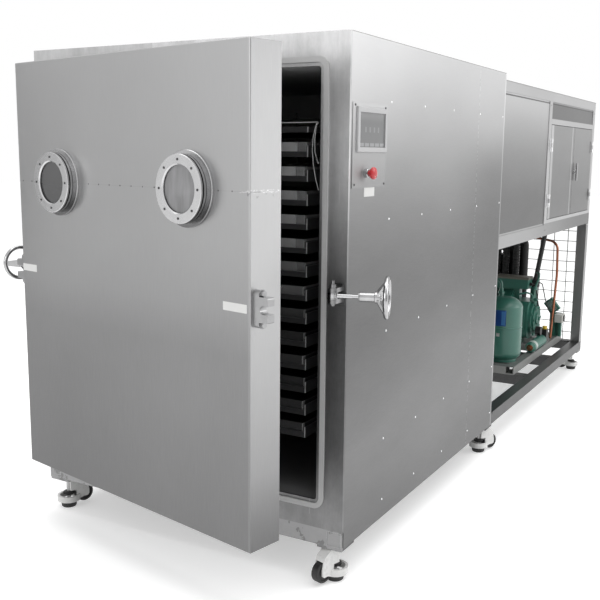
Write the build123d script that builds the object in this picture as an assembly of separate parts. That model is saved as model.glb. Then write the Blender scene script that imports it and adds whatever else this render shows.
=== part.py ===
from build123d import *
import math
import os

# ---------------------------------------------------------------------------
# Freeze dryer, millimetres. X to the right seen from the front, Y back, Z up.
# Origin: middle of the cabinet's front face, on the floor.
# ---------------------------------------------------------------------------

# Overall frame
BODY_WIDTH = 1350.0
CABINET_LENGTH = 1625.0
BAY_LENGTH = 2025.0
CABINET_TOP = 1835.0
BAY_ROOF_DROP = 30.0
BAY_TOP = CABINET_TOP - BAY_ROOF_DROP
FRAME_BOTTOM = 135.0
TUBE = 60.0
TUBE_WALL = 4.0
PANEL_T = 2.0
PLATE_T = 10.0
TOTAL_LENGTH = CABINET_LENGTH + BAY_LENGTH
HALF = BODY_WIDTH / 2
FRAME_HALF = HALF - PANEL_T
BASE_TOP = FRAME_BOTTOM + TUBE
MIDDLE_POST_BACK = 1191.0
MIDDLE_POST_Y = TOTAL_LENGTH - MIDDLE_POST_BACK
LOWER_BEAM_BOTTOM = 1010.0
LOWER_BEAM_TOP = 1073.0
TOP_BEAM_H = 50.0
DOOR_RAIL_H = 30.0
SMALL_PANEL_H = 92.0
BAY_DOOR_SILL = 27.0
SIDE_SEAM_BACK = 375.0

# Front plate, chamber and seal
OPENING_W = 1146.0
OPENING_BOTTOM = 294.0
OPENING_HEAD = 104.0
OPENING_TOP = CABINET_TOP - OPENING_HEAD
OPENING_R = 10.0
CHAMBER_DEPTH = 1250.0
CHAMBER_WALL = 6.0
SEAL_W = 18.0
SEAL_H = 5.5
SEAL_MARGIN = 12.0
SEAL_R = 22.0

# Shelves and trays
SHELF_COUNT = 14
SHELF_PITCH = 80.0
SHELF_HEAD = 186.0
SHELF_TOP_Z = OPENING_TOP - SHELF_HEAD
SHELF_W = 1000.0
SHELF_T = 18.0
SHELF_FRONT = 50.0
SHELF_DEPTH = 1050.0
LIP_T = 3.0
LIP_H = 20.0
TRAY_W = 974.0
TRAY_DEPTH = 1020.0
TRAY_H = 30.0
TRAY_WALL = 2.0
TRAY_FRONT = 58.0
TRAY_STAGGER = 7.0
POST_SIDE = 40.0
COIL_TUBE = 22.0
COIL_PITCH = 66.0

# Door
DOOR_W = 1220.0
DOOR_T = 127.0
DOOR_BOTTOM = 257.0
DOOR_HEAD = 60.0
DOOR_TOP = CABINET_TOP - DOOR_HEAD
DOOR_GAP = 6.0
DOOR_SKIN = 4.0
DOOR_BACK_T = 14.0
DOOR_REST_DEG = 12.155
PIN_X = 648.0
PIN_Y = -45.0

# Sight windows
SIGHT_X = 342.0
SIGHT_DROP = 425.0
SIGHT_Z = DOOR_TOP - SIGHT_DROP
SIGHT_BORE = 144.0
SIGHT_TUBE_OD = 168.0
SIGHT_COLLAR_OD = 236.0
SIGHT_RING_OD = 210.0
SIGHT_COLLAR_H = 9.0
SIGHT_BODY_H = 29.0
SIGHT_RING_T = 9.0
SIGHT_SEAM = 2.0
GLASS_OD = 176.0
GLASS_T = 12.0
SIGHT_BEVEL = 4.0

# Door hinges
LOW_HINGE_Z = 450.0
HIGH_HINGE_DROP = 195.0
HINGE_ZS = (LOW_HINGE_Z, DOOR_TOP - HIGH_HINGE_DROP)
HINGE_PIN_D = 16.0
KNUCKLE_D = 30.0
KNUCKLE_H = 60.0
EAR_T = 14.0
RUN_GAP = 0.3

# Swing bolts and their forks
BOLT_Z = 1012.0
RIGHT_BOLT_REST_DEG = 109.0
LEFT_BOLT_REST_DEG = 110.0
BOLT_PIN_D = 14.0
EYE_D = 34.0
EYE_H = 22.0
ROD_D = 15.0
THREAD_D = 12.0
ROD_SHOULDER = 64.0
ROD_END = 160.0
WASHER_D = 30.0
WASHER_T = 4.0
SLEEVE_START = 88.5
SLEEVE_D = 32.0
SLEEVE_L = 46.0
COLLAR_D = 40.0
COLLAR_L = 18.0
WHEEL_D = 140.0
RIM_D = 16.0
WHEEL_AT = 174.0
SPOKE_HUB_W = 30.0
SPOKE_RIM_W = 17.0
SPOKE_T = 7.0
FORK_BASE_OUT = 25.0
FORK_TIP_OUT = 60.0
FORK_T = 28.0
FORK_SETBACK = 10.0
FORK_BASE_H = 113.0
FORK_TIP_H = 76.0
FORK_SLOT_H = 25.0
RIGHT_SLOT_END = 28.0
LEFT_SLOT_END = 8.0
FORK_BOLT_OFFSET = 46.5
FORK_BOLT_D = 12.0
FORK_BASE_R = 12.0
FORK_WASHER_D = 24.0
FORK_WASHER_T = 2.5

# Casters
CASTER_X = 625.0
CASTER_FRONT = 50.0
CASTER_MIDDLE_BACK = 25.0
CASTER_YS = (CASTER_FRONT, CABINET_LENGTH - CASTER_MIDDLE_BACK, TOTAL_LENGTH - CASTER_FRONT)
CASTER_PLATE = 95.0
PAD_D = 66.0
PAD_H = 22.0
STEM_D = 16.0
NUT_D = 44.0
NUT_Z = 52.0
NUT_H = 12.0
RING_OD = 92.0
RING_T = 10.0
RING_Z = 26.0
RING_H = 24.0
NECK_D = 54.0
WHEEL_TREAD_D = 75.0
WHEEL_W = 30.0
WHEEL_OFFSET = 66.0
WHEEL_LIFT = 9.0
AXLE_D = 10.0
FORK_CHEEK = 5.0

# Controls on the right side
CONTROL_Y0 = 20.0
CONTROL_W = 255.0
CONTROL_H = 270.0
CONTROL_DROP = 215.0
CONTROL_Y1 = CONTROL_Y0 + CONTROL_W
CONTROL_Z1 = CABINET_TOP - CONTROL_DROP
CONTROL_Z0 = CONTROL_Z1 - CONTROL_H
CONTROL_T = 2.0
BEZEL_IN = 25.0
BEZEL_DROP = 13.0
BEZEL_W = 225.0
BEZEL_H = 143.0
BEZEL_Y0 = CONTROL_Y0 + BEZEL_IN
BEZEL_Y1 = BEZEL_Y0 + BEZEL_W
BEZEL_Z1 = CONTROL_Z1 - BEZEL_DROP
BEZEL_Z0 = BEZEL_Z1 - BEZEL_H
BEZEL_T = 7.0
SCREEN_MARGIN = 16.0
SCREEN_T = 3.0
ESTOP_IN = 96.0
ESTOP_RISE = 47.0
ESTOP_Y = CONTROL_Y0 + ESTOP_IN
ESTOP_Z = CONTROL_Z0 + ESTOP_RISE
ESTOP_BASE_D = 30.0
ESTOP_BASE_H = 14.0
ESTOP_HEAD_D = 40.0
ESTOP_TRAVEL = 5.0

# Machine bay
SKID_X = 550.0
SKID_FRONT_BACK = 1210.0
SKID_REAR_BACK = 65.0
SKID_Y0 = TOTAL_LENGTH - SKID_FRONT_BACK
SKID_Y1 = TOTAL_LENGTH - SKID_REAR_BACK
SKID_H = 50.0
SKID_FLANGE = 45.0
SKID_WALL = 5.0
RECEIVER_X = 432.0
RECEIVER_BACK = 1060.0
RECEIVER_Y = TOTAL_LENGTH - RECEIVER_BACK
RECEIVER_D = 219.0
RECEIVER_H = 380.0
RECEIVER_SEAM = 206.0
COMP_X = 262.0
COMP_BACK = 400.0
COMP_Y = TOTAL_LENGTH - COMP_BACK
COMP_W = 400.0
COMP_LEN = 300.0
COMP_H = 330.0
COMP_HEAD_L = 96.0
COMP_HEAD_W = 110.0
COMP_HEAD_H = 74.0
COMP_HEAD_TILT = 28.0
COMP_RIB_T = 8.0
COMP_RIB_PITCH = 52.0
DRIER_X = 534.0
DRIER_BACK = 840.0
DRIER_Y = TOTAL_LENGTH - DRIER_BACK
DRIER_D = 66.0
DRIER_LEN = 298.0
DRIER_STUB = 22.0
COIL_D = 56.0
STAND_X = 536.0
STAND_W = 72.0
STAND_H = 160.0
STAND_HEAD_L = 94.0
STAND_HEAD_W = 66.0
STAND_HEAD_TILT = 50.0
STAND_BACK = 170.0
STAND_Y = TOTAL_LENGTH - STAND_BACK
SUCTION_D = 30.0
SUCTION_SIDE = 60.0
SUCTION_BACK = 6.0
SUCTION_LEAN = 9
SUCTION_KNEE = 10.0
SUCTION_KNEE_RISE = 70.0
SUCTION_FOOT_RISE = 40.0
SUCTION_BEND = 120.0
SUCTION_FLANGE_W = 60.0
SUCTION_FLANGE_DEPTH = 52.0
SUCTION_FLANGE_H = 46.0
SUCTION_FLANGE_R = 8.0
COPPER_X = 525.0
COPPER_BACK = 270.0
COPPER_Y = TOTAL_LENGTH - COPPER_BACK
COPPER_D = 16.0
COPPER_STEPS = ((20.0, 6.0, 435.0), (12.0, 10.0, 648.0), (-150.0, 20.0, 672.0))
COPPER_END_X = -190.0
COPPER_END_Y = 25.0
COPPER_LEAN = 26
COPPER_BENDS = (300.0, 60.0, 30.0)
HOSE_D = 60.0
HOSE_X = 270.0
HOSE_PITCH = 72.0
PUMP_X = -240.0
PUMP_BACK = 530.0
PUMP_Y = TOTAL_LENGTH - PUMP_BACK
PUMP_W = 220.0
PUMP_L = 250.0
PUMP_H = 290.0
PUMP_MOTOR_D = 220.0
PUMP_MOTOR_L = 250.0
PUMP_PORT_D = 90.0
PUMP_PORT_H = 40.0
ELECTRIC_X = 250.0
ELECTRIC_FRONT_BACK = 1070.0
ELECTRIC_REAR_BACK = 110.0
ELECTRIC_HEAD = 192.0
ELECTRIC_MARGIN = 50.0
ELECTRIC_ROW_Z = 110.0
ELECTRIC_ROW_PITCH = 165.0
ELECTRIC_ROW_H = 90.0
ELECTRIC_ROW_D = 60.0
MESH_PITCH_X = 92.0
MESH_PITCH_Z = 70.0
MESH_WIRE = 4.0

# Bay doors, their hinges and latch
BAY_DOOR_T = 20.0
BAY_DOOR_GAP = 3.0
BAY_DOOR_SPLIT_BACK = 558.0
BAY_DOOR_SPLIT = TOTAL_LENGTH - BAY_DOOR_SPLIT_BACK
BAY_HINGE_RISE = 133.0
BAY_HINGE_DROP = 290.0
BAY_HINGE_ZS = (LOWER_BEAM_TOP + BAY_HINGE_RISE, BAY_TOP - BAY_HINGE_DROP)
BAY_HINGE_H = 72.0
BAY_KNUCKLE_D = 12.0
BAY_LEAF_T = 2.5
BAY_LEAF_W = 28.0
BAY_PIN_D = 6.0
LATCH_IN = 46.0
LATCH_RISE = 288.0
LATCH_Y = BAY_DOOR_SPLIT + LATCH_IN
LATCH_Z = LOWER_BEAM_TOP + LATCH_RISE
LATCH_H = 110.0
LATCH_CAM_L = 72.0
LATCH_CAM_W = 18.0

# Clearances
PANEL_GAP = 0.3
INSET = 3.0
FIT = 0.2
SHAFT_FIT = 0.05

# Caster headings, degrees from +X, front left, front right, then the pairs behind
CASTER_HEADINGS = (70.0, -107.0, 35.0, 59.0, -140.0, -158.0)

DOOR_PIN = Pos(-PIN_X, PIN_Y, 0)


def extruded(plane, points, direction, length):
    """Closed polygon in a plane, pushed out along a world direction."""
    return extrude(make_face(plane * Polyline(*points, close=True)), length, dir=direction)


def block(x0, x1, y0, y1, z0, z1):
    return Pos((x0 + x1) / 2, (y0 + y1) / 2, (z0 + z1) / 2) * Box(x1 - x0, y1 - y0, z1 - z0)


def mirrored(shape):
    return mirror(shape, about=Plane.YZ)


def tube_x(x0, x1, y0, z0, depth=TUBE, height=TUBE):
    outer = block(x0, x1, y0, y0 + depth, z0, z0 + height)
    w = TUBE_WALL
    return outer - block(x0 - 1, x1 + 1, y0 + w, y0 + depth - w, z0 + w, z0 + height - w)


def tube_y(x0, y0, y1, z0, width=TUBE, height=TUBE):
    outer = block(x0, x0 + width, y0, y1, z0, z0 + height)
    w = TUBE_WALL
    return outer - block(x0 + w, x0 + width - w, y0 - 1, y1 + 1, z0 + w, z0 + height - w)


def tube_z(x0, y0, z0, z1, width=TUBE, depth=TUBE):
    outer = block(x0, x0 + width, y0, y0 + depth, z0, z1)
    w = TUBE_WALL
    return outer - block(x0 + w, x0 + width - w, y0 + w, y0 + depth - w, z0 - 1, z1 + 1)


def turned(points):
    """Solid of revolution about Z from (radius, height) points."""
    face = make_face(Plane.XZ * Polyline(*points, close=True))
    return revolve(face, Axis.Z)


def rod(start, direction, diameter, length):
    plane = Plane(origin=start, z_dir=direction)
    return extrude(plane * Circle(diameter / 2), length)


# --- frames ------------------------------------------------------------------

def cross_member_ys():
    bay_start = CABINET_LENGTH - TUBE
    return (0.0, bay_start, SKID_Y0 + 20.0, (SKID_Y0 + SKID_Y1) / 2, TOTAL_LENGTH - TUBE)


def base_frame():
    inner = FRAME_HALF - TUBE
    parts = [tube_y(inner, 0, TOTAL_LENGTH, FRAME_BOTTOM)]
    parts.append(tube_y(-FRAME_HALF, 0, TOTAL_LENGTH, FRAME_BOTTOM))
    for y in cross_member_ys():
        parts.append(tube_x(-inner, inner, y, FRAME_BOTTOM))
    return parts


def upright_frame():
    parts = []
    roof = CABINET_TOP - PANEL_T
    bay_roof = BAY_TOP - PANEL_T
    beam_z = bay_roof - TOP_BEAM_H
    last_y = TOTAL_LENGTH - TUBE
    cab_y = CABINET_LENGTH - PANEL_T
    beam_h = LOWER_BEAM_TOP - LOWER_BEAM_BOTTOM
    for x0 in (-FRAME_HALF, FRAME_HALF - TUBE):
        parts.append(tube_z(x0, PLATE_T, BASE_TOP, roof - TUBE))
        parts.append(tube_z(x0, cab_y - TUBE, BASE_TOP, roof - TUBE))
        parts.append(tube_y(x0, PLATE_T, cab_y, roof - TUBE))
        parts.append(tube_z(x0, last_y, BASE_TOP, LOWER_BEAM_BOTTOM))
        parts.append(tube_y(x0, CABINET_LENGTH, TOTAL_LENGTH, LOWER_BEAM_BOTTOM, height=beam_h))
        parts.append(tube_z(x0, MIDDLE_POST_Y, LOWER_BEAM_TOP, beam_z))
        parts.append(tube_z(x0, last_y, LOWER_BEAM_TOP, beam_z))
        parts.append(tube_y(x0, CABINET_LENGTH, TOTAL_LENGTH, beam_z, height=TOP_BEAM_H))
    inner = FRAME_HALF - TUBE
    parts.append(tube_x(-inner, inner, last_y, LOWER_BEAM_BOTTOM, height=beam_h))
    parts.append(tube_x(-inner, inner, last_y, beam_z, height=TOP_BEAM_H))
    sill_top = LOWER_BEAM_TOP + BAY_DOOR_SILL
    rail_z = door_rail_z()
    y0, y1 = MIDDLE_POST_Y + TUBE, last_y
    parts.append(tube_y(inner, y0, y1, LOWER_BEAM_TOP, height=sill_top - LOWER_BEAM_TOP))
    parts.append(tube_y(inner, y0, y1, rail_z, height=DOOR_RAIL_H))
    for edge_y, side in ((y0, -1), (y1, 1)):
        for z in BAY_HINGE_ZS:
            parts += bay_hinge_fixed(edge_y, side, z)
    return parts


def door_rail_z():
    return BAY_TOP - PANEL_T - TOP_BEAM_H - SMALL_PANEL_H - 2 * PANEL_GAP - DOOR_RAIL_H


def bay_hinge_fixed(edge_y, side, z):
    """Frame leaf, outer knuckles and pin of a butt hinge; side -1 when the frame is in front."""
    pin_y = edge_y - side * BAY_DOOR_GAP / 2
    face = FRAME_HALF
    r = BAY_KNUCKLE_D / 2
    third = BAY_HINGE_H / 3
    leaf_end = pin_y + side * (BAY_LEAF_W)
    y_lo, y_hi = sorted((pin_y + side * 1.0, leaf_end))
    leaf = block(face, face + BAY_LEAF_T, y_lo, y_hi, z - BAY_HINGE_H / 2, z + BAY_HINGE_H / 2)
    leaf -= Pos(face + r, pin_y, z) * Cylinder(r + RUN_GAP, third)
    pieces = leaf
    for dz in (-third, third):
        pieces += Pos(face + r, pin_y, z + dz) * Cylinder(r, third - RUN_GAP)
    pieces += Pos(face + r, pin_y, z) * Cylinder(BAY_PIN_D / 2, BAY_HINGE_H - RUN_GAP)
    return [pieces]


def caster_places():
    return [(sx * CASTER_X, y) for y in CASTER_YS for sx in (-1, 1)]


def caster_plates():
    plates = []
    c = CASTER_PLATE / 2
    cut = 28.0
    for x, y in caster_places():
        sx = -1 if x > 0 else 1
        sy = 1 if y < TOTAL_LENGTH / 2 else -1
        corners = [(-c * sx, -c * sy), (c * sx, -c * sy), (c * sx, (c - cut) * sy)]
        corners += [((c - cut) * sx, c * sy), (-c * sx, c * sy)]
        face = make_face(Polyline(*corners, close=True))
        plates.append(Pos(x, y, FRAME_BOTTOM - PLATE_T) * extrude(face, PLATE_T))
    return plates


def levelling_feet():
    """Rubber pad, threaded stem and knurled nut under each corner plate."""
    feet = []
    r = PAD_D / 2
    stem = STEM_D / 2
    nut = NUT_D / 2
    top = FRAME_BOTTOM - PLATE_T
    pad = turned([(0, 0), (r - 6, 0), (r - 3, 3), (r, PAD_H - 3), (r - 2, PAD_H), (0, PAD_H)])
    shaft = Pos(0, 0, (PAD_H + top) / 2) * Cylinder(stem, top - PAD_H)
    ring = turned([(stem, 0), (nut - 2, 0), (nut, 2), (nut, NUT_H - 2), (nut - 2, NUT_H), (stem, NUT_H)])
    for x, y in caster_places():
        feet += [Pos(x, y, 0) * pad, Pos(x, y, 0) * shaft, Pos(x, y, NUT_Z) * ring]
    return feet


# --- cabinet ------------------------------------------------------------------

def rounded_slab(x0, x1, z0, z1, y0, y1, radius):
    plane = Plane(origin=((x0 + x1) / 2, y0, (z0 + z1) / 2), x_dir=(1, 0, 0), z_dir=(0, 1, 0))
    return extrude(plane * RectangleRounded(x1 - x0, z1 - z0, radius), y1 - y0)


def opening_slab(y0, y1, grow=0.0):
    w = OPENING_W / 2 + grow
    return rounded_slab(-w, w, OPENING_BOTTOM - grow, OPENING_TOP + grow, y0, y1, OPENING_R + grow)


def four_lengths(ring, y0, y1):
    """Two uprights, a sill and a head, which meet where the opening's corners start."""
    x = OPENING_W / 2 - OPENING_R
    middle = (OPENING_BOTTOM + OPENING_TOP) / 2
    uprights = [ring & block(-HALF, -x, y0, y1, 0, CABINET_TOP), ring & block(x, HALF, y0, y1, 0, CABINET_TOP)]
    sill = ring & block(-x, x, y0, y1, 0, middle)
    head = ring & block(-x, x, y0, y1, middle, CABINET_TOP)
    return uprights + [sill, head]


def front_plate():
    plate = block(-HALF, HALF, 0, PLATE_T, BASE_TOP, CABINET_TOP)
    return four_lengths(plate - opening_slab(-1, PLATE_T + 1), 0, PLATE_T)


def door_seal():
    outer = opening_slab(-SEAL_H, 0, SEAL_MARGIN + SEAL_W)
    inner = opening_slab(-SEAL_H - 1, 1, SEAL_MARGIN)
    return four_lengths(outer - inner, -SEAL_H, 0)


def chamber_shell():
    y1 = PLATE_T + CHAMBER_DEPTH
    walls = opening_slab(PLATE_T, y1, CHAMBER_WALL) - opening_slab(PLATE_T - 1, y1 + 1)
    back = opening_slab(y1, y1 + CHAMBER_WALL, CHAMBER_WALL)
    return four_lengths(walls, PLATE_T, y1) + [back]


def shelf_top(index):
    return SHELF_TOP_Z - index * SHELF_PITCH


def shelf_rack():
    w = SHELF_W / 2
    parts = []
    for i in range(SHELF_COUNT):
        z1 = shelf_top(i)
        z0 = z1 - SHELF_T
        section = [(-w, z0), (w, z0), (w, z1 + LIP_H), (w - LIP_T, z1 + LIP_H), (w - LIP_T, z1)]
        section += [(LIP_T - w, z1), (LIP_T - w, z1 + LIP_H), (-w, z1 + LIP_H)]
        if i == 0:
            section = [(-w, z0), (w, z0), (w, z1), (-w, z1)]
        plane = Plane(origin=(0, SHELF_FRONT, 0), x_dir=(1, 0, 0), z_dir=(0, -1, 0))
        parts.append(extruded(plane, section, (0, 1, 0), SHELF_DEPTH))
    top = shelf_top(0)
    for sx in (-1, 1):
        for y in (SHELF_FRONT + 200, SHELF_FRONT + SHELF_DEPTH - 200 - POST_SIDE):
            x0, x1 = sorted((sx * w, sx * (w + POST_SIDE)))
            parts.append(block(x0, x1, y, y + POST_SIDE, OPENING_BOTTOM, top))
    return parts


def trays():
    parts = []
    w = TRAY_W / 2
    for i in range(1, SHELF_COUNT):
        z0 = shelf_top(i)
        y0 = TRAY_FRONT + TRAY_STAGGER * math.sin(2.4 * i)
        outer = block(-w, w, y0, y0 + TRAY_DEPTH, z0, z0 + TRAY_H)
        t = TRAY_WALL
        parts.append(outer - block(t - w, w - t, y0 + t, y0 + TRAY_DEPTH - t, z0 + t, z0 + TRAY_H + 1))
    return parts


def cold_trap_coil():
    y_wall = PLATE_T + CHAMBER_DEPTH
    y = y_wall - 24 - COIL_TUBE / 2 - RUN_GAP
    x1 = 400.0
    rows = 6
    step = (OPENING_TOP - OPENING_BOTTOM - 240) / (rows - 1)
    points = []
    for i in range(rows):
        z = OPENING_BOTTOM + 120 + i * step
        ends = [(-x1, y, z), (x1, y, z)]
        points += ends if i % 2 == 0 else ends[::-1]
    path = FilletPolyline(*points, radius=step / 2 - 1)
    tube = sweep(Plane(path @ 0, z_dir=path % 0) * Circle(COIL_TUBE / 2), path)
    bars = [block(x - 15, x + 15, y_wall - 24, y_wall, OPENING_BOTTOM + 80, OPENING_TOP - 80) for x in (-250, 250)]
    return [tube] + bars


# --- panels -------------------------------------------------------------------

def side_panels(sign):
    x0, x1 = sorted((sign * FRAME_HALF, sign * HALF))
    z1 = CABINET_TOP - PANEL_T
    seam = CABINET_LENGTH - SIDE_SEAM_BACK
    parts = [block(x0, x1, PLATE_T, seam - PANEL_GAP, FRAME_BOTTOM, z1)]
    parts.append(block(x0, x1, seam + PANEL_GAP, CABINET_LENGTH, FRAME_BOTTOM, z1))
    i0, i1 = sorted((sign * (FRAME_HALF - INSET), sign * (FRAME_HALF - INSET - PANEL_T)))
    g = PANEL_GAP
    beam_z = BAY_TOP - PANEL_T - TOP_BEAM_H
    parts.append(block(i0, i1, CABINET_LENGTH + g, MIDDLE_POST_Y - g, LOWER_BEAM_TOP + g, beam_z - g))
    y0, y1 = MIDDLE_POST_Y + TUBE + g, TOTAL_LENGTH - TUBE - g
    z0 = door_rail_z() + DOOR_RAIL_H + g if sign > 0 else LOWER_BEAM_TOP + g
    parts.append(block(i0, i1, y0, y1, z0, beam_z - g))
    return parts


def top_panels():
    cabinet = block(-HALF, HALF, PLATE_T, CABINET_LENGTH, CABINET_TOP - PANEL_T, CABINET_TOP)
    bay = block(-HALF, HALF, CABINET_LENGTH, TOTAL_LENGTH, BAY_TOP - PANEL_T, BAY_TOP)
    return [cabinet, bay]


def bulkhead_panels():
    inner = FRAME_HALF - TUBE
    y0 = CABINET_LENGTH - PANEL_T
    rear = block(-FRAME_HALF, FRAME_HALF, y0, CABINET_LENGTH, BASE_TOP, CABINET_TOP - PANEL_T)
    g = PANEL_GAP
    y1 = TOTAL_LENGTH - TUBE
    floor = block(-inner + g, inner - g, CABINET_LENGTH, y1 - g, LOWER_BEAM_BOTTOM, LOWER_BEAM_BOTTOM + 3)
    z1 = BAY_TOP - PANEL_T - TOP_BEAM_H
    y2 = TOTAL_LENGTH - INSET - PANEL_T
    end = block(-inner + g, inner - g, y2, y2 + PANEL_T, LOWER_BEAM_TOP + g, z1 - g)
    return [rear, floor, end]


def end_guard():
    inner = FRAME_HALF - TUBE
    y = TOTAL_LENGTH - TUBE / 2
    t = MESH_WIRE
    parts = []
    columns = int(2 * inner / MESH_PITCH_X)
    first = -(columns - 1) * MESH_PITCH_X / 2
    for i in range(columns):
        x = first + i * MESH_PITCH_X
        parts.append(block(x - t / 2, x + t / 2, y - t, y, BASE_TOP, LOWER_BEAM_BOTTOM))
    height = LOWER_BEAM_BOTTOM - BASE_TOP
    rows = int(height / MESH_PITCH_Z)
    first = BASE_TOP + (height - (rows - 1) * MESH_PITCH_Z) / 2
    for i in range(rows):
        z = first + i * MESH_PITCH_Z
        parts.append(block(-inner, inner, y, y + t, z - t / 2, z + t / 2))
    return parts


# --- door ---------------------------------------------------------------------

def at_rest(shape):
    """Turns a piece of the closed door to its resting angle about the hinge pin."""
    return DOOR_PIN * Rot(0, 0, -DOOR_REST_DEG) * DOOR_PIN.inverse() * shape


def sight_places():
    y = -DOOR_GAP - DOOR_T
    return [Plane(origin=(sx * SIGHT_X, y, SIGHT_Z), x_dir=(1, 0, 0), z_dir=(0, -1, 0)) for sx in (-1, 1)]


def sight_holes(shape):
    r = SIGHT_TUBE_OD / 2 + FIT
    for place in sight_places():
        shape -= place.location * Pos(0, 0, -DOOR_T / 2) * Cylinder(r, DOOR_T + 40)
    return shape


def door_shell():
    w = DOOR_W / 2
    back = -DOOR_GAP
    front = back - DOOR_T
    pan = block(-w, w, front, back, DOOR_BOTTOM, DOOR_TOP)
    edges = pan.edges().filter_by(Axis.Y) + pan.faces().sort_by(Axis.Y)[0].edges()
    pan = fillet(edges, DOOR_SKIN * 0.75)
    s = DOOR_SKIN
    pan -= block(s - w, w - s, front + s, back + 1, DOOR_BOTTOM + s, DOOR_TOP - s)
    return [at_rest(sight_holes(pan))]


def door_back_plate():
    w = DOOR_W / 2 - DOOR_SKIN
    y1 = -DOOR_GAP
    plate = block(-w, w, y1 - DOOR_BACK_T, y1, DOOR_BOTTOM + DOOR_SKIN, DOOR_TOP - DOOR_SKIN)
    return [at_rest(sight_holes(plate))]


def sight_flanges():
    bore = SIGHT_BORE / 2
    tube = SIGHT_TUBE_OD / 2
    seat = SIGHT_BODY_H + SIGHT_SEAM - GLASS_T
    recess = GLASS_OD / 2 + RUN_GAP
    profile = [(bore, -DOOR_T), (tube, -DOOR_T), (tube, 0), (SIGHT_COLLAR_OD / 2, 0)]
    profile += [(SIGHT_COLLAR_OD / 2, SIGHT_COLLAR_H - 2), (SIGHT_COLLAR_OD / 2 - 2, SIGHT_COLLAR_H)]
    profile += [(SIGHT_RING_OD / 2, SIGHT_COLLAR_H), (SIGHT_RING_OD / 2, SIGHT_BODY_H)]
    profile += [(recess, SIGHT_BODY_H), (recess, seat), (bore, seat)]
    flange = turned(profile)
    return [at_rest(place.location * flange) for place in sight_places()]


def sight_glasses():
    z0 = SIGHT_BODY_H + SIGHT_SEAM - GLASS_T
    glass = Pos(0, 0, z0 + GLASS_T / 2) * Cylinder(GLASS_OD / 2, GLASS_T)
    return [at_rest(place.location * glass) for place in sight_places()]


def sight_rings():
    z0 = SIGHT_BODY_H + SIGHT_SEAM
    z1 = z0 + SIGHT_RING_T
    b = SIGHT_BORE / 2
    r = SIGHT_RING_OD / 2
    ring = turned([(b, z0), (r, z0), (r, z1 - 1.5), (r - 1.5, z1), (b + SIGHT_BEVEL, z1), (b, z1 - SIGHT_BEVEL)])
    return [at_rest(place.location * ring) for place in sight_places()]


def fork(sign, slot_end):
    """Clamp fork on the door's edge, its slot open sideways to take the swing bolt's rod."""
    face = DOOR_W / 2
    y0 = -DOOR_GAP - DOOR_T + FORK_SETBACK
    y1 = y0 + FORK_T
    base = block(face, face + FORK_BASE_OUT, y0, y1, BOLT_Z - FORK_BASE_H / 2, BOLT_Z + FORK_BASE_H / 2)
    base = fillet(base.edges().filter_by(Axis.X), FORK_BASE_R)
    tip = block(face, face + FORK_TIP_OUT, y0, y1, BOLT_Z - FORK_TIP_H / 2, BOLT_Z + FORK_TIP_H / 2)
    tip = fillet(tip.faces().sort_by(Axis.X)[-1].edges().filter_by(Axis.Y), 6)
    r = FORK_SLOT_H / 2
    start = face + slot_end + r
    ymid = (y0 + y1) / 2
    slot = block(start, face + FORK_TIP_OUT + 1, y0 - 1, y1 + 1, BOLT_Z - r, BOLT_Z + r)
    slot += Pos(start, ymid, BOLT_Z) * Rot(90, 0, 0) * Cylinder(r, FORK_T + 2)
    shape = base + tip - slot
    for dz in (-FORK_BOLT_OFFSET, FORK_BOLT_OFFSET):
        place = Plane(origin=(face + FORK_BASE_OUT, ymid, BOLT_Z + dz), z_dir=(1, 0, 0))
        shape += extrude(place * Circle(FORK_WASHER_D / 2), FORK_WASHER_T)
        shape += extrude(place * RegularPolygon(FORK_BOLT_D * 0.8, 6), FORK_WASHER_T + FORK_BOLT_D * 0.65)
    return shape if sign > 0 else mirrored(shape)


def clamp_forks():
    return [at_rest(fork(1, RIGHT_SLOT_END)), at_rest(fork(-1, LEFT_SLOT_END))]


def door_hinge_leaves():
    parts = []
    face = -DOOR_W / 2
    for z in HINGE_ZS:
        knuckle = Pos(-PIN_X, PIN_Y, z) * Cylinder(KNUCKLE_D / 2, KNUCKLE_H)
        arm = block(-PIN_X, face, PIN_Y - KNUCKLE_D / 2, PIN_Y + KNUCKLE_D / 2, z - KNUCKLE_H / 2, z + KNUCKLE_H / 2)
        strap = block(face - 8, face, -DOOR_GAP - DOOR_T + 15, -DOOR_GAP - 8, z - 70, z + 70)
        shape = knuckle + arm + strap
        shape -= Pos(-PIN_X, PIN_Y, z) * Cylinder(HINGE_PIN_D / 2 + SHAFT_FIT, KNUCKLE_H + 2)
        parts.append(at_rest(shape))
    return parts


def bracket(pin_x, z, gap, pin_d, ear_r, ear_t, cap_h):
    """Wall plate, two ears and a pin, with a free gap between the ears for what turns on the pin."""
    base_t = 6.0
    half = gap / 2
    plate = block(pin_x - ear_r - 4, pin_x + ear_r + 4, -base_t, 0, z - half - ear_t - 10, z + half + ear_t + 10)
    parts = [plate]
    for z0 in (z - half - ear_t, z + half):
        ear = block(pin_x - ear_r, pin_x + ear_r, PIN_Y, -base_t, z0, z0 + ear_t)
        ear += Pos(pin_x, PIN_Y, z0 + ear_t / 2) * Cylinder(ear_r, ear_t)
        ear -= Pos(pin_x, PIN_Y, z0 + ear_t / 2) * Cylinder(pin_d / 2 + SHAFT_FIT, ear_t + 2)
        parts.append(ear)
    low = z - half - ear_t - 8
    high = z + half + ear_t
    pin = Pos(pin_x, PIN_Y, (low + high) / 2) * Cylinder(pin_d / 2, high - low)
    pin += Pos(pin_x, PIN_Y, high + cap_h / 4) * Cylinder(pin_d / 2 + 4, cap_h / 2)
    pin += Pos(pin_x, PIN_Y, high + cap_h / 2) * Cylinder(pin_d / 2 - 1, cap_h)
    parts.append(pin)
    return parts


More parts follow.
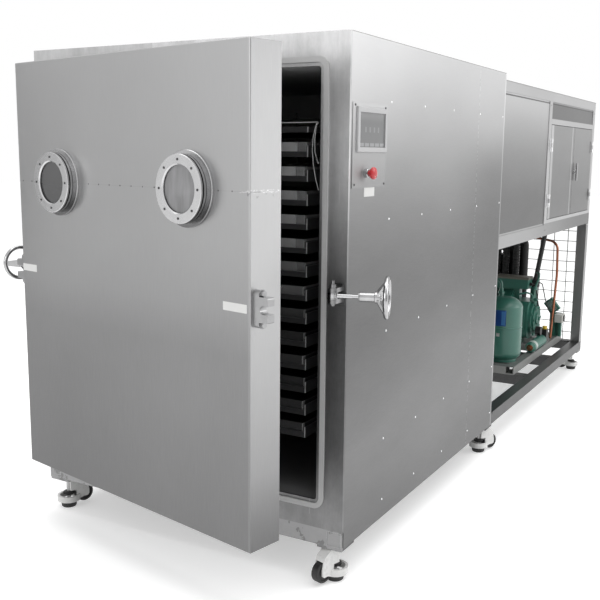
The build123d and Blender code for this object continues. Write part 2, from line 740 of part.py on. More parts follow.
def closure_brackets():
    parts = []
    for z in HINGE_ZS:
        parts += bracket(-PIN_X, z, KNUCKLE_H + 2 * RUN_GAP, HINGE_PIN_D, KNUCKLE_D / 2 + 2, EAR_T, 12)
    for x in (-PIN_X, PIN_X):
        parts += bracket(x, BOLT_Z, EYE_H + 2 * RUN_GAP, BOLT_PIN_D, 16.0, EAR_T, 24)
    return parts


# --- swing bolts --------------------------------------------------------------

def bolt_place(sign):
    """Pivot of a swing bolt, local +X along its rod at rest."""
    angle = -90 + RIGHT_BOLT_REST_DEG if sign > 0 else -90 - LEFT_BOLT_REST_DEG
    return Pos(sign * PIN_X, PIN_Y, BOLT_Z) * Rot(0, 0, angle)


def along(shape):
    """Turns a piece modelled about Z to lie along the rod."""
    return Rot(0, 90, 0) * shape


def swing_bolt(sign):
    eye = Cylinder(EYE_D / 2, EYE_H)
    shank = along(Pos(0, 0, ROD_SHOULDER / 2) * Cylinder(ROD_D / 2, ROD_SHOULDER))
    thread_l = ROD_END - ROD_SHOULDER
    tip = chamfer(Cylinder(THREAD_D / 2, thread_l).edges().sort_by(Axis.Z)[-1], 1.5)
    thread = along(Pos(0, 0, ROD_SHOULDER + thread_l / 2) * tip)
    shape = eye + shank + thread - Cylinder(BOLT_PIN_D / 2 + SHAFT_FIT, EYE_H + 2)
    return [bolt_place(sign) * shape]


def thrust_washer(sign):
    z = SLEEVE_START - RUN_GAP - WASHER_T / 2
    ring = Pos(0, 0, z) * (Cylinder(WASHER_D / 2, WASHER_T) - Cylinder(THREAD_D / 2 + RUN_GAP, WASHER_T + 1))
    return [bolt_place(sign) * along(ring)]


def spoke(inner, outer, angle):
    """Flat arm of a handwheel, broad at the hub and narrower at the rim."""
    run = outer - inner
    across = Vector(-math.sin(angle), math.cos(angle), 0)
    plane = Plane(origin=inner, x_dir=run, z_dir=run.cross(across))
    length = run.length
    outline = [(0, -SPOKE_HUB_W / 2), (length, -SPOKE_RIM_W / 2), (length, SPOKE_RIM_W / 2), (0, SPOKE_HUB_W / 2)]
    return extrude(make_face(plane * Polyline(*outline, close=True)), SPOKE_T / 2, both=True)


def handwheel(sign):
    z1 = SLEEVE_START + SLEEVE_L
    z2 = z1 + COLLAR_L
    r1, r2 = SLEEVE_D / 2, COLLAR_D / 2
    hub = turned([(0, SLEEVE_START), (r1, SLEEVE_START), (r1, z1), (r2, z1 + 2), (r2, z2 - 2), (r2 - 2, z2), (0, z2)])
    rim_r = (WHEEL_D - RIM_D) / 2
    shape = hub + Pos(0, 0, WHEEL_AT) * Torus(rim_r, RIM_D / 2)
    for i in range(3):
        a = math.radians(90 + 120 * i)
        inner = Vector(r1 * math.cos(a), r1 * math.sin(a), z2 - SPOKE_T)
        outer = Vector(rim_r * math.cos(a), rim_r * math.sin(a), WHEEL_AT)
        shape += spoke(inner, outer, a)
    shape -= Pos(0, 0, (SLEEVE_START + ROD_END) / 2) * Cylinder(THREAD_D / 2 + RUN_GAP, ROD_END - SLEEVE_START + 14)
    return [bolt_place(sign) * along(shape)]


# --- controls -----------------------------------------------------------------

def control_plate():
    x0 = HALF
    return [block(x0, x0 + CONTROL_T, CONTROL_Y0, CONTROL_Y1, CONTROL_Z0, CONTROL_Z1)]


def touch_bezel():
    x0 = HALF + CONTROL_T
    frame = block(x0, x0 + BEZEL_T, BEZEL_Y0, BEZEL_Y1, BEZEL_Z0, BEZEL_Z1)
    m = SCREEN_MARGIN
    window = block(x0 - 1, x0 + BEZEL_T + 1, BEZEL_Y0 + m, BEZEL_Y1 - m, BEZEL_Z0 + m, BEZEL_Z1 - m)
    frame = chamfer(frame.faces().sort_by(Axis.X)[-1].edges(), 2)
    return [frame - window]


def touch_screen():
    x0 = HALF + CONTROL_T
    m = SCREEN_MARGIN + FIT
    return [block(x0, x0 + SCREEN_T, BEZEL_Y0 + m, BEZEL_Y1 - m, BEZEL_Z0 + m, BEZEL_Z1 - m)]


def estop_place():
    return Plane(origin=(HALF + CONTROL_T, ESTOP_Y, ESTOP_Z), z_dir=(1, 0, 0)).location


def estop_base():
    r = ESTOP_BASE_D / 2
    h = ESTOP_BASE_H
    bore = ESTOP_HEAD_D / 5
    profile = [(bore + RUN_GAP, 0), (r, 0), (r, h - 2), (r - 2, h), (bore + RUN_GAP, h)]
    return [estop_place() * turned(profile)]


def estop_button():
    r = ESTOP_HEAD_D / 2
    stem = ESTOP_HEAD_D / 5
    z0 = ESTOP_TRAVEL + 1
    z1 = ESTOP_BASE_H + ESTOP_TRAVEL + 1
    profile = [(0, z0), (stem, z0), (stem, z1), (r - 5, z1), (r, z1 + 8), (r, z1 + 12)]
    profile += [(r - 2, z1 + 16), (r - 8, z1 + 19), (0, z1 + 20)]
    return [estop_place() * turned(profile)]


# --- casters ------------------------------------------------------------------

def caster_place(index):
    x, y = caster_places()[index]
    return Pos(x, y, 0) * Rot(0, 0, CASTER_HEADINGS[index])


def caster_body():
    """Cast housing with a guard ring round the foot, local +X towards the wheel."""
    top = FRAME_BOTTOM - PLATE_T - RUN_GAP
    axle_z = WHEEL_TREAD_D / 2 + WHEEL_LIFT
    width = WHEEL_W + 2 * (FORK_CHEEK + 1)
    end = WHEEL_OFFSET + 16
    neck_z = NUT_Z + NUT_H + 4
    root = NECK_D / 2
    side = [(root, top), (root + 13, top), (WHEEL_OFFSET + 6, top - 24), (end, axle_z + 14), (end, axle_z - 8)]
    side += [(end - 9, axle_z - 14), (WHEEL_OFFSET - 10, axle_z - 14), (root + 9, RING_Z), (root, RING_Z)]
    plane = Plane(origin=(0, 0, 0), x_dir=(1, 0, 0), z_dir=(0, -1, 0))
    shape = extrude(make_face(plane * Polyline(*side, close=True)), width / 2, both=True)
    shape = fillet(shape.edges().filter_by(Axis.Y).group_by(Axis.X)[-1], 8)
    shape += Pos(0, 0, (neck_z + top) / 2) * Cylinder(root, top - neck_z)
    shape += block(0, root + 1, -width / 2, width / 2, neck_z, top)
    ring = Cylinder(RING_OD / 2, RING_H) - Cylinder(RING_OD / 2 - RING_T, RING_H + 2)
    shape += Pos(0, 0, RING_Z + RING_H / 2) * ring
    slot_w = WHEEL_W + 2
    cut_r = WHEEL_TREAD_D / 2 + 3
    slot = Pos(WHEEL_OFFSET, 0, axle_z) * Rot(90, 0, 0) * Cylinder(cut_r, slot_w)
    slot += block(WHEEL_OFFSET, end + 1, -slot_w / 2, slot_w / 2, 0, axle_z + cut_r * 0.6)
    shape -= slot
    shape -= Pos(0, 0, (neck_z + top) / 2) * Cylinder(STEM_D / 2 + RUN_GAP, top)
    shape += Pos(WHEEL_OFFSET, 0, axle_z) * Rot(90, 0, 0) * Cylinder(AXLE_D / 2, width)
    return shape


def caster_wheel():
    r = WHEEL_TREAD_D / 2
    w = WHEEL_W / 2
    bore = AXLE_D / 2 + SHAFT_FIT
    profile = [(bore, -w), (r * 0.35, -w), (r * 0.45, 3 - w), (r * 0.7, 3 - w), (r * 0.75, -w), (r - 3, -w), (r, 3 - w)]
    profile += [(r, w - 3), (r - 3, w), (r * 0.75, w), (r * 0.7, w - 3), (r * 0.45, w - 3), (r * 0.35, w), (bore, w)]
    axle_z = r + WHEEL_LIFT
    return Pos(WHEEL_OFFSET, 0, axle_z) * Rot(90, 0, 0) * turned(profile)


# --- compartment doors ----------------------------------------------------------

def bay_hinge_moving(edge_y, side, z):
    """Door leaf and middle knuckle of a butt hinge."""
    pin_y = edge_y - side * BAY_DOOR_GAP / 2
    face = FRAME_HALF
    r = BAY_KNUCKLE_D / 2
    third = BAY_HINGE_H / 3
    y_lo, y_hi = sorted((pin_y - side * 1.0, pin_y - side * BAY_LEAF_W))
    half = BAY_HINGE_H / 2
    leaf = block(face, face + BAY_LEAF_T, y_lo, y_hi, z - half, z + half)
    for dz in (-third, third):
        leaf -= Pos(face + r, pin_y, z + dz) * Cylinder(r + RUN_GAP, third + 1)
    knuckle = Pos(face + r, pin_y, z) * Cylinder(r, third - RUN_GAP)
    bore = Pos(face + r, pin_y, z) * Cylinder(BAY_PIN_D / 2 + SHAFT_FIT, BAY_HINGE_H)
    return leaf + knuckle - bore


def bay_door(y0, y1, edge_y, side):
    z0 = LOWER_BEAM_TOP + BAY_DOOR_SILL + BAY_DOOR_GAP
    z1 = door_rail_z() - BAY_DOOR_GAP
    x1 = FRAME_HALF
    x0 = x1 - BAY_DOOR_T
    t = PANEL_T
    pan = block(x0, x1, y0, y1, z0, z1) - block(x0 - 1, x1 - t, y0 + t, y1 - t, z0 + t, z1 - t)
    for z in BAY_HINGE_ZS:
        pan += bay_hinge_moving(edge_y, side, z)
    return pan


def bay_door_front():
    edge = MIDDLE_POST_Y + TUBE
    return [bay_door(edge + BAY_DOOR_GAP, BAY_DOOR_SPLIT - BAY_DOOR_GAP / 2, edge, -1)]


def bay_door_rear():
    edge = TOTAL_LENGTH - TUBE
    door = bay_door(BAY_DOOR_SPLIT + BAY_DOOR_GAP / 2, edge - BAY_DOOR_GAP, edge, 1)
    hole = Pos(FRAME_HALF, LATCH_Y, LATCH_Z) * Rot(0, 90, 0) * Cylinder(6 + RUN_GAP, 30)
    return [door - hole]


def bay_door_latch():
    x0 = FRAME_HALF - BAY_DOOR_T - 7
    x1 = FRAME_HALF + 14
    shaft = rod((x0, LATCH_Y, LATCH_Z), (1, 0, 0), 12.0, x1 - x0)
    rose = rod((FRAME_HALF + RUN_GAP, LATCH_Y, LATCH_Z), (1, 0, 0), 34.0, 4.0)
    grip = block(x1 - 6, x1 + 4, LATCH_Y - 8, LATCH_Y + 8, LATCH_Z - LATCH_H / 2, LATCH_Z + LATCH_H / 2)
    grip = fillet(grip.edges().filter_by(Axis.X), 6)
    half = LATCH_CAM_W / 2
    cam = block(x0, x0 + 4, LATCH_Y - half, LATCH_Y + half, LATCH_Z, LATCH_Z + LATCH_CAM_L)
    return [shaft + rose + grip + cam]


# --- machine bay ----------------------------------------------------------------

def channel_profile(x0, x1, z0, z1, wall):
    """C section open towards x0, web at x1."""
    s = wall if x1 > x0 else -wall
    return [(x0, z0), (x1, z0), (x1, z1), (x0, z1), (x0, z1 - wall), (x1 - s, z1 - wall), (x1 - s, z0 + wall), (x0, z0 + wall)]


def skid_cross_ys():
    foot = COMP_LEN / 2 - 45
    under_tank = (RECEIVER_Y - 80, RECEIVER_Y + 35)
    return (SKID_Y0, *under_tank, COMP_Y - foot - 22, COMP_Y + foot - 22, SKID_Y1 - 45.0)


def skid_top():
    return BASE_TOP + SKID_H


def skid_frame():
    z0, z1 = BASE_TOP, skid_top()
    parts = []
    for s in (-1, 1):
        points = channel_profile(s * (SKID_X - SKID_FLANGE), s * SKID_X, z0, z1, SKID_WALL)
        plane = Plane(origin=(0, SKID_Y0, 0), x_dir=(1, 0, 0), z_dir=(0, -1, 0))
        parts.append(extruded(plane, points, (0, 1, 0), SKID_Y1 - SKID_Y0))
    inner = SKID_X - SKID_FLANGE
    for y in skid_cross_ys():
        points = channel_profile(y + 45, y, z0, z1, SKID_WALL)
        plane = Plane(origin=(-inner, 0, 0), x_dir=(0, 1, 0), z_dir=(1, 0, 0))
        parts.append(extruded(plane, points, (1, 0, 0), 2 * inner))
    return parts


def receiver_tank():
    r = RECEIVER_D / 2
    z0 = skid_top()
    z1 = z0 + RECEIVER_H
    low, high = z0 + 62, z1 - 50
    seam = z0 + RECEIVER_SEAM
    skirt = r * 0.78
    with BuildPart() as tank:
        with BuildSketch(Plane.XZ):
            with BuildLine():
                Line((0, z0), (skirt, z0))
                Line((skirt, z0), (skirt, z0 + 16))
                ThreePointArc((skirt, z0 + 16), (r * 0.95, z0 + 34), (r, low))
                Line((r, low), (r, seam - 5))
                Line((r, seam - 5), (r + 2, seam - 3))
                Line((r + 2, seam - 3), (r + 2, seam + 3))
                Line((r + 2, seam + 3), (r, seam + 5))
                Line((r, seam + 5), (r, high))
                ThreePointArc((r, high), (r * 0.72, z1 - 12), (0, z1))
                Line((0, z1), (0, z0))
            make_face()
        revolve(axis=Axis.Z)
    shape = tank.part + Pos(-30, 30, z1 - 5) * Cylinder(14, 50)
    return [Pos(RECEIVER_X, RECEIVER_Y, 0) * shape]


def compressor_ends():
    """Left and right faces of the compressor's casing."""
    return COMP_X - COMP_W / 2, COMP_X + COMP_W / 2 - 30


def compressor_body():
    z0 = skid_top()
    x, y = COMP_X, COMP_Y
    left, right = compressor_ends()
    d = COMP_LEN / 2
    low = z0 + 24
    top = z0 + COMP_H - 60
    case = block(left, right, y - d + 20, y + d - 20, low, top)
    case = fillet(case.edges().filter_by(Axis.X), 45)
    axis_z = (low + top) / 2
    for x0, length, dia in ((right - 1, 19, 236.0), (right + 17, 13, 180.0), (left - 24, 25, 230.0)):
        case += rod((x0, y, axis_z), (1, 0, 0), dia, length)
    for x0 in (left + 30, right - 80):
        for dy in (-d + 45, d - 45):
            case += block(x0, x0 + 50, y + dy - 35, y + dy + 35, z0, z0 + 30)
    case += compressor_ribs(axis_z)
    for x0 in (left + 98, left + 208):
        for side in (-1, 1):
            case += compressor_head(x0, y + side * 66, top, side)
    case += block(x - 40, x + 90, y - 50, y + 10, top - 20, z0 + COMP_H + 18)
    valve_x, valve_y = suction_port()
    case += Pos(valve_x, valve_y, top + 30) * Cylinder(24, 100)
    return [case]


def compressor_ribs(axis_z):
    """Upright ribs round the flanks of the casing."""
    left, right = compressor_ends()
    reach = COMP_LEN / 2 - 8
    height = COMP_H * 0.36
    count = int((right - left - 40) / COMP_RIB_PITCH)
    ribs = []
    for i in range(count):
        x0 = right - 26 - i * COMP_RIB_PITCH
        y0, y1 = COMP_Y - reach, COMP_Y + reach
        ribs.append(block(x0, x0 + COMP_RIB_T, y0, y1, axis_z - height / 2, axis_z + height / 2))
    return ribs


def compressor_head(x0, y, top, side):
    """Cylinder head with a raised cover, leaning outwards from the crankcase."""
    half_l, half_w, half_h = COMP_HEAD_L / 2, COMP_HEAD_W / 2, COMP_HEAD_H / 2
    head = block(-half_l, half_l, -half_w, half_w, -half_h, half_h)
    head = fillet(head.edges().filter_by(Axis.Z), 10)
    cover = block(6 - half_l, half_l - 6, 6 - half_w, half_w - 6, half_h - 1, half_h + 12)
    cover = fillet(cover.edges().filter_by(Axis.Z), 8)
    return Pos(x0, y, top) * Rot(-side * COMP_HEAD_TILT, 0, 0) * (head + cover)


def suction_port():
    return compressor_ends()[1] - 14, COMP_Y + 62


def suction_flange_z():
    return skid_top() + COMP_H + 20


def terminal_box():
    z0 = skid_top() + COMP_H + 18
    x0, x1 = COMP_X - 70, COMP_X + 150
    y0, y1 = COMP_Y - 80, COMP_Y + 20
    box = block(x0, x1, y0, y1, z0, z0 + 62)
    lid = block(x0 - 5, x1 + 5, y0 - 5, y1 + 5, z0 + 62, z0 + 78)
    lid = chamfer(lid.faces().sort_by(Axis.Z)[-1].edges(), 5)
    return [box, lid]


def drier_axis_z():
    return skid_top() + DRIER_D / 2 + 3


def filter_drier():
    z0 = skid_top()
    z = drier_axis_z()
    r = DRIER_D / 2
    stub = DRIER_STUB
    end = 16.0
    length = stub + DRIER_LEN
    profile = [(0, 0), (10, 0), (10, stub), (r * 0.6, stub), (r, stub + end), (r, length - end)]
    profile += [(r * 0.6, length), (10, length), (10, length + stub + 8), (0, length + stub + 8)]
    shell = Plane(origin=(DRIER_X, DRIER_Y, z), z_dir=(0, 1, 0)).location * turned(profile)
    for dy in (70, 230):
        shell += block(DRIER_X - 20, DRIER_X + 14, DRIER_Y + dy, DRIER_Y + dy + 20, z0, z)
    y1 = DRIER_Y + length + stub + 8
    valve = block(DRIER_X - 18, DRIER_X + 18, y1, y1 + 44, z - 20, z + 62)
    valve += rod((DRIER_X - 20, y1 + 22, z + 30), (0, -1, 0), 14.0, 90.0)
    coil_y = y1 - 66
    valve += rod((DRIER_X - 34, coil_y, z + 62), (1, 0, 0), COIL_D, 34.0)
    valve += rod((DRIER_X - 20, coil_y, z + 30), (0, 0, 1), 12.0, 20.0)
    cap = Pos(DRIER_X, y1 + 22, z + 71) * Cylinder(15, 18)
    brass = rod((DRIER_X, y1 + 44, z + 6), (0, 1, 0), 26.0, 34.0)
    brass += Pos(DRIER_X, y1 + 64, z + 22) * Cylinder(9, 32)
    return [shell, valve, cap, brass]


def pipe(points, radius, diameter):
    path = FilletPolyline(*points, radius=radius)
    return sweep(Plane(path @ 0, z_dir=path % 0) * Circle(diameter / 2), path)


def hung_start(x, y, lean, diameter):
    """Highest point of a leaning pipe that just meets the compartment floor."""
    return (x, y, LOWER_BEAM_BOTTOM - diameter / 2 * math.sin(math.radians(lean)) - RUN_GAP)


def suction_pipe():
    x, y = suction_port()
    foot = suction_flange_z()
    head = hung_start(x + SUCTION_SIDE, y + SUCTION_BACK, SUCTION_LEAN, SUCTION_D)
    knee = (x + SUCTION_KNEE, y, foot + SUCTION_KNEE_RISE)
    tube = pipe([head, knee, (x, y, foot + SUCTION_FOOT_RISE)], [SUCTION_BEND], SUCTION_D)
    half_w, half_d = SUCTION_FLANGE_W / 2, SUCTION_FLANGE_DEPTH / 2
    flange = block(x - half_w, x + half_w, y - half_d, y + half_d, foot, foot + SUCTION_FLANGE_H)
    return [tube + fillet(flange.edges().filter_by(Axis.Z), SUCTION_FLANGE_R)]


def copper_pipe():
    z0 = skid_top()
    x, y = COPPER_X, COPPER_Y
    points = [(x, y, z0 + 2 * RUN_GAP)]
    for step_x, step_y, rise in COPPER_STEPS:
        points.append((x + step_x, y + step_y, z0 + rise))
    points.append(hung_start(x + COPPER_END_X, y + COPPER_END_Y, COPPER_LEAN, COPPER_D))
    return [pipe(points, COPPER_BENDS, COPPER_D)]


def gauge_stand():
    z0 = skid_top()
    x0, x1 = STAND_X - STAND_W / 2, STAND_X + STAND_W / 2
    y0, y1 = STAND_Y - 20, STAND_Y + 15
    top = z0 + STAND_H
    leg = block(x0, x0 + 32, y0, y1, z0, top) + block(x0, x1, y1 - 6, y1, z0, top)
    leg += block(x1 - 6, x1, y0, y1, z0, top) + block(x1 - 16, x1, y0, y0 + 6, z0, top)
    half_l, half_w = STAND_HEAD_L / 2, STAND_HEAD_W / 2
    head = block(-half_l, half_l, y0, y1, -half_w, half_w)
    head += block(12 - half_l, half_l - 12, y0 - 5, y0 + 1, 10 - half_w, half_w - 10)
    leg += Pos(x0 + 4, 0, z0 + 205) * Rot(0, STAND_HEAD_TILT, 0) * head
    front = y0 - 82
    switch = block(STAND_X + 10, STAND_X + 62, front, y0, z0 + 110, z0 + 162)
    switch = fillet(switch.edges().filter_by(Axis.Z), 4)
    dial = rod((STAND_X + 61, front + 42, z0 + 136), (1, 0, 0), 38.0, 5.0)
    return [leg, switch + dial]


def vacuum_pump():
    z0 = skid_top()
    x, y = PUMP_X, PUMP_Y
    w, r = PUMP_W / 2, PUMP_MOTOR_D / 2
    front = y + 20 - PUMP_L
    case = block(x - w, x + w, front, y + 20, z0, z0 + PUMP_H)
    case = fillet(case.edges().filter_by(Axis.Z), 20)
    case += rod((x, y + 20, z0 + r + 50), (0, 1, 0), PUMP_MOTOR_D, PUMP_MOTOR_L)
    case += block(x - r + 20, x + r - 20, y + 60, y + PUMP_MOTOR_L - 30, z0, z0 + 70)
    case += Pos(x, y - 100, z0 + PUMP_H + PUMP_PORT_H / 2) * Cylinder(PUMP_PORT_D / 2, PUMP_PORT_H)
    return [case]


def pump_hose():
    """Hose from the pump's port up and forward to the back of the cabinet."""
    x, y = PUMP_X, PUMP_Y - 100
    z0 = skid_top() + PUMP_H + PUMP_PORT_H
    high = LOWER_BEAM_BOTTOM - 105
    points = [(x, y, z0), (x, y, high - 25), (x + 30, y - 180, high)]
    points.append((x + 40, CABINET_LENGTH + 2 * RUN_GAP, high))
    return pipe(points, [90, 200], HOSE_D)


def vacuum_hoses():
    hoses = [pump_hose()]
    rear_y = SKID_Y1 - 22
    low = skid_top() + RUN_GAP
    high = LOWER_BEAM_BOTTOM - 115
    for i in range(3):
        x = HOSE_X - HOSE_PITCH * i
        y = rear_y - 4 * i
        z = high - 66 * i
        end_x = x - 250 - 24 * i
        points = [(x, y, low), (x, y, z), (end_x, y, z + 8), hung_start(end_x - 16, y, 9, HOSE_D)]
        hoses.append(pipe(points, [62, 62], HOSE_D))
    return hoses


def electrical_panel():
    z0 = LOWER_BEAM_BOTTOM + 3
    z1 = BAY_TOP - ELECTRIC_HEAD
    x0 = ELECTRIC_X
    y0, y1 = TOTAL_LENGTH - ELECTRIC_FRONT_BACK, TOTAL_LENGTH - ELECTRIC_REAR_BACK
    parts = [block(x0, x0 + 4, y0, y1, z0, z1)]
    m = ELECTRIC_MARGIN
    for row in range(3):
        z = z0 + ELECTRIC_ROW_Z + row * ELECTRIC_ROW_PITCH
        depth = ELECTRIC_ROW_D + 12 * row
        parts.append(block(x0 + 4, x0 + 4 + depth, y0 + m, y1 - m - 180 * row, z, z + ELECTRIC_ROW_H))
    return parts


# --- output ---------------------------------------------------------------------

NODES = {
    "base_frame": base_frame,
    "upright_frame": upright_frame,
    "caster_plates": caster_plates,
    "levelling_feet": levelling_feet,
    "front_plate": front_plate,
    "door_seal": door_seal,
    "chamber_shell": chamber_shell,
    "shelf_rack": shelf_rack,
    "trays": trays,
    "cold_trap_coil": cold_trap_coil,
    "right_panels": lambda: side_panels(1),
    "left_panels": lambda: side_panels(-1),
    "top_panels": top_panels,
    "bulkhead_panels": bulkhead_panels,
    "end_guard": end_guard,
    "closure_brackets": closure_brackets,
    "door_shell": door_shell,
    "door_back_plate": door_back_plate,
    "sight_flanges": sight_flanges,
    "sight_glasses": sight_glasses,
    "sight_rings": sight_rings,
    "clamp_forks": clamp_forks,
    "door_hinge_leaves": door_hinge_leaves,
    "right_swing_bolt": lambda: swing_bolt(1),
    "right_thrust_washer": lambda: thrust_washer(1),
    "right_handwheel": lambda: handwheel(1),
    "left_swing_bolt": lambda: swing_bolt(-1),
    "left_thrust_washer": lambda: thrust_washer(-1),
    "left_handwheel": lambda: handwheel(-1),
    "control_plate": control_plate,
    "touch_bezel": touch_bezel,
    "touch_screen": touch_screen,
    "estop_base": estop_base,
    "estop_button": estop_button,
    "bay_door_front": bay_door_front,
    "bay_door_rear": bay_door_rear,
    "bay_door_latch": bay_door_latch,
    "electrical_panel": electrical_panel,
    "skid_frame": skid_frame,
    "receiver_tank": receiver_tank,
    "compressor_body": compressor_body,
    "terminal_box": terminal_box,
    "filter_drier": filter_drier,
    "suction_pipe": suction_pipe,
    "copper_pipe": copper_pipe,
    "gauge_stand": gauge_stand,
    "vacuum_pump": vacuum_pump,
    "vacuum_hoses": vacuum_hoses,
}


def write(name, solids):
    # The origin lies on the floor, at the centre of the front right levelling pad.
    to_origin = Pos(-CASTER_X, -CASTER_FRONT, 0)
    whole = []
    for item in solids:
        whole += [to_origin * solid for solid in item.solids()]
    body = whole[0] if len(whole) == 1 else Compound(children=whole)
    export_step(body, os.path.join("parts", name + ".step"))


os.makedirs("parts", exist_ok=True)
for node_name, make_node in NODES.items():
    write(node_name, make_node())
for caster_index in range(len(CASTER_HEADINGS)):
    spot = caster_place(caster_index)
    write(f"caster_body_{caster_index + 1}", [spot * caster_body()])
    write(f"caster_wheel_{caster_index + 1}", [spot * caster_wheel()])
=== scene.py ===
# %% [markdown]
# # A production freeze dryer in Blender
# The welded and bolted structure arrives as a packed model, one mesh for each part, already in metres
# and in place. This lesson gives every part its finish, with painted reflection and shade on the sheet
# metal, and adds the small things that a close look needs: screws, rivets, weld beads, labels, hose ribs
# and the marks of the sheet metal work.

# %% Load the packed model
import bpy, bmesh
from math import cos, degrees, pi, radians, sin, tan
from mathutils import Matrix, Vector


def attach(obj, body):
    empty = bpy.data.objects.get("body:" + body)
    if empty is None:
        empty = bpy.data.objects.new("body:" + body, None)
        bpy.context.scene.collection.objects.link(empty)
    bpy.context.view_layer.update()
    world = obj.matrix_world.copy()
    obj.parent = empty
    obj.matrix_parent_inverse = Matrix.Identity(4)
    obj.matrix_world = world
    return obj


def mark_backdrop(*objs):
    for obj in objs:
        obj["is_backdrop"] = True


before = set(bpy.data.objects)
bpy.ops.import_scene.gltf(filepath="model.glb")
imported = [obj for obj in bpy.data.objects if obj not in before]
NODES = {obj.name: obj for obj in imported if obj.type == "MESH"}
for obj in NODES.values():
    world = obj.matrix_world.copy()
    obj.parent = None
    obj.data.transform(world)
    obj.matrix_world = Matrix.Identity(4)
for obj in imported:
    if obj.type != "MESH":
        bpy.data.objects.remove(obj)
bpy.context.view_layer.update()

# %% [markdown]
# ## One handy set of coordinates
# The model's origin lies under its front right levelling pad. The cabinet is easier to dimension from
# the middle of its front face, so every place below is written from there, and one vector carries it
# over to the model.

# %% From the cabinet's front to the model's origin
FOOT = Vector((0.625, 0.05, 0.0))
HINGE = Vector((-0.648, -0.045, 0.0))
SWING = radians(-12.155)
TO_MODEL = Matrix.Translation(-FOOT)
DOOR_TURN = Matrix.Translation(HINGE) @ Matrix.Rotation(SWING, 4, "Z") @ Matrix.Translation(-HINGE)
print("door stands open by", round(-degrees(SWING), 2), "degrees")

# %% [markdown]
# ## Camera
# The machine is seen from a little above its middle, thirty degrees round from the front. The camera's
# matrix is built from a heading, a tilt and a small roll, so each can be changed by itself.

# %% Camera
def into_scene(name, data):
    made = bpy.data.objects.new(name, data)
    bpy.context.scene.collection.objects.link(made)
    return made


def look(heading, down, roll, place, lens):
    a, e, r = (radians(v) for v in (heading, down, roll))
    forward = Vector((-sin(a) * cos(e), cos(a) * cos(e), -sin(e)))
    right = Vector((cos(a), sin(a), 0))
    up = right.cross(forward)
    side, top = cos(r) * right + sin(r) * up, cos(r) * up - sin(r) * right
    data = bpy.data.cameras.new("camera")
    data.lens, data.sensor_width, data.clip_end = lens, 36.0, 60.0
    cam = into_scene("camera", data)
    m = Matrix((side, top, -forward)).transposed().to_4x4()
    m.translation = place - FOOT
    cam.matrix_world = m
    bpy.context.scene.camera = cam
    return cam

camera = look(29.622, 9.501, 0.528, Vector((1.9243, -2.4993, 1.4596)), 52.67)
bpy.context.scene.view_settings.view_transform = "Standard"
print("camera at", [round(v, 3) for v in camera.location])

# %% [markdown]
# ## Writing materials as sums
# Blender's shader maths is easier to read as an expression. A small class wraps a socket and overloads
# the operators, so that `1 - mask` or `a * 0.3 + b` adds the Math nodes. Any other node comes from one
# method that takes the node's type, its settings and the values of its sockets.

# %% A socket that can be added and multiplied
class Sock:
    def __init__(self, mat, out):
        self.mat, self.out = mat, out

    def calc(self, op, a, b):
        return self.mat.node("Math", {"operation": op}, a, b)

    def __add__(self, o): return self.calc("ADD", self, o)
    def __radd__(self, o): return self.calc("ADD", o, self)
    def __sub__(self, o): return self.calc("SUBTRACT", self, o)
    def __rsub__(self, o): return self.calc("SUBTRACT", o, self)
    def __mul__(self, o): return self.calc("MULTIPLY", self, o)
    def __rmul__(self, o): return self.calc("MULTIPLY", o, self)
    def __truediv__(self, o): return self.calc("DIVIDE", self, o)
    def __or__(self, o): return self.calc("MAXIMUM", self, o)
    def over(self, o): return self.calc("GREATER_THAN", self, o)
    def under(self, o): return self.calc("LESS_THAN", self, o)
    def repeat(self): return self.calc("FRACT", self, 0.0)
    def clip(self): return self.mat.node("Clamp", {}, self, 0.0, 1.0)
    def size(self): return self.calc("ABSOLUTE", self, 0.0)
    def near(self, middle, reach): return (self - middle).size().under(reach)
    def between(self, low, high): return self.near((low + high) / 2, (high - low) / 2)


print("a socket knows", *[n for n in vars(Sock) if n[0] != "_"])

# %% A finish that makes its own nodes
def rgb(v):
    return (*v, 1.0) if isinstance(v, tuple) and len(v) == 3 else v


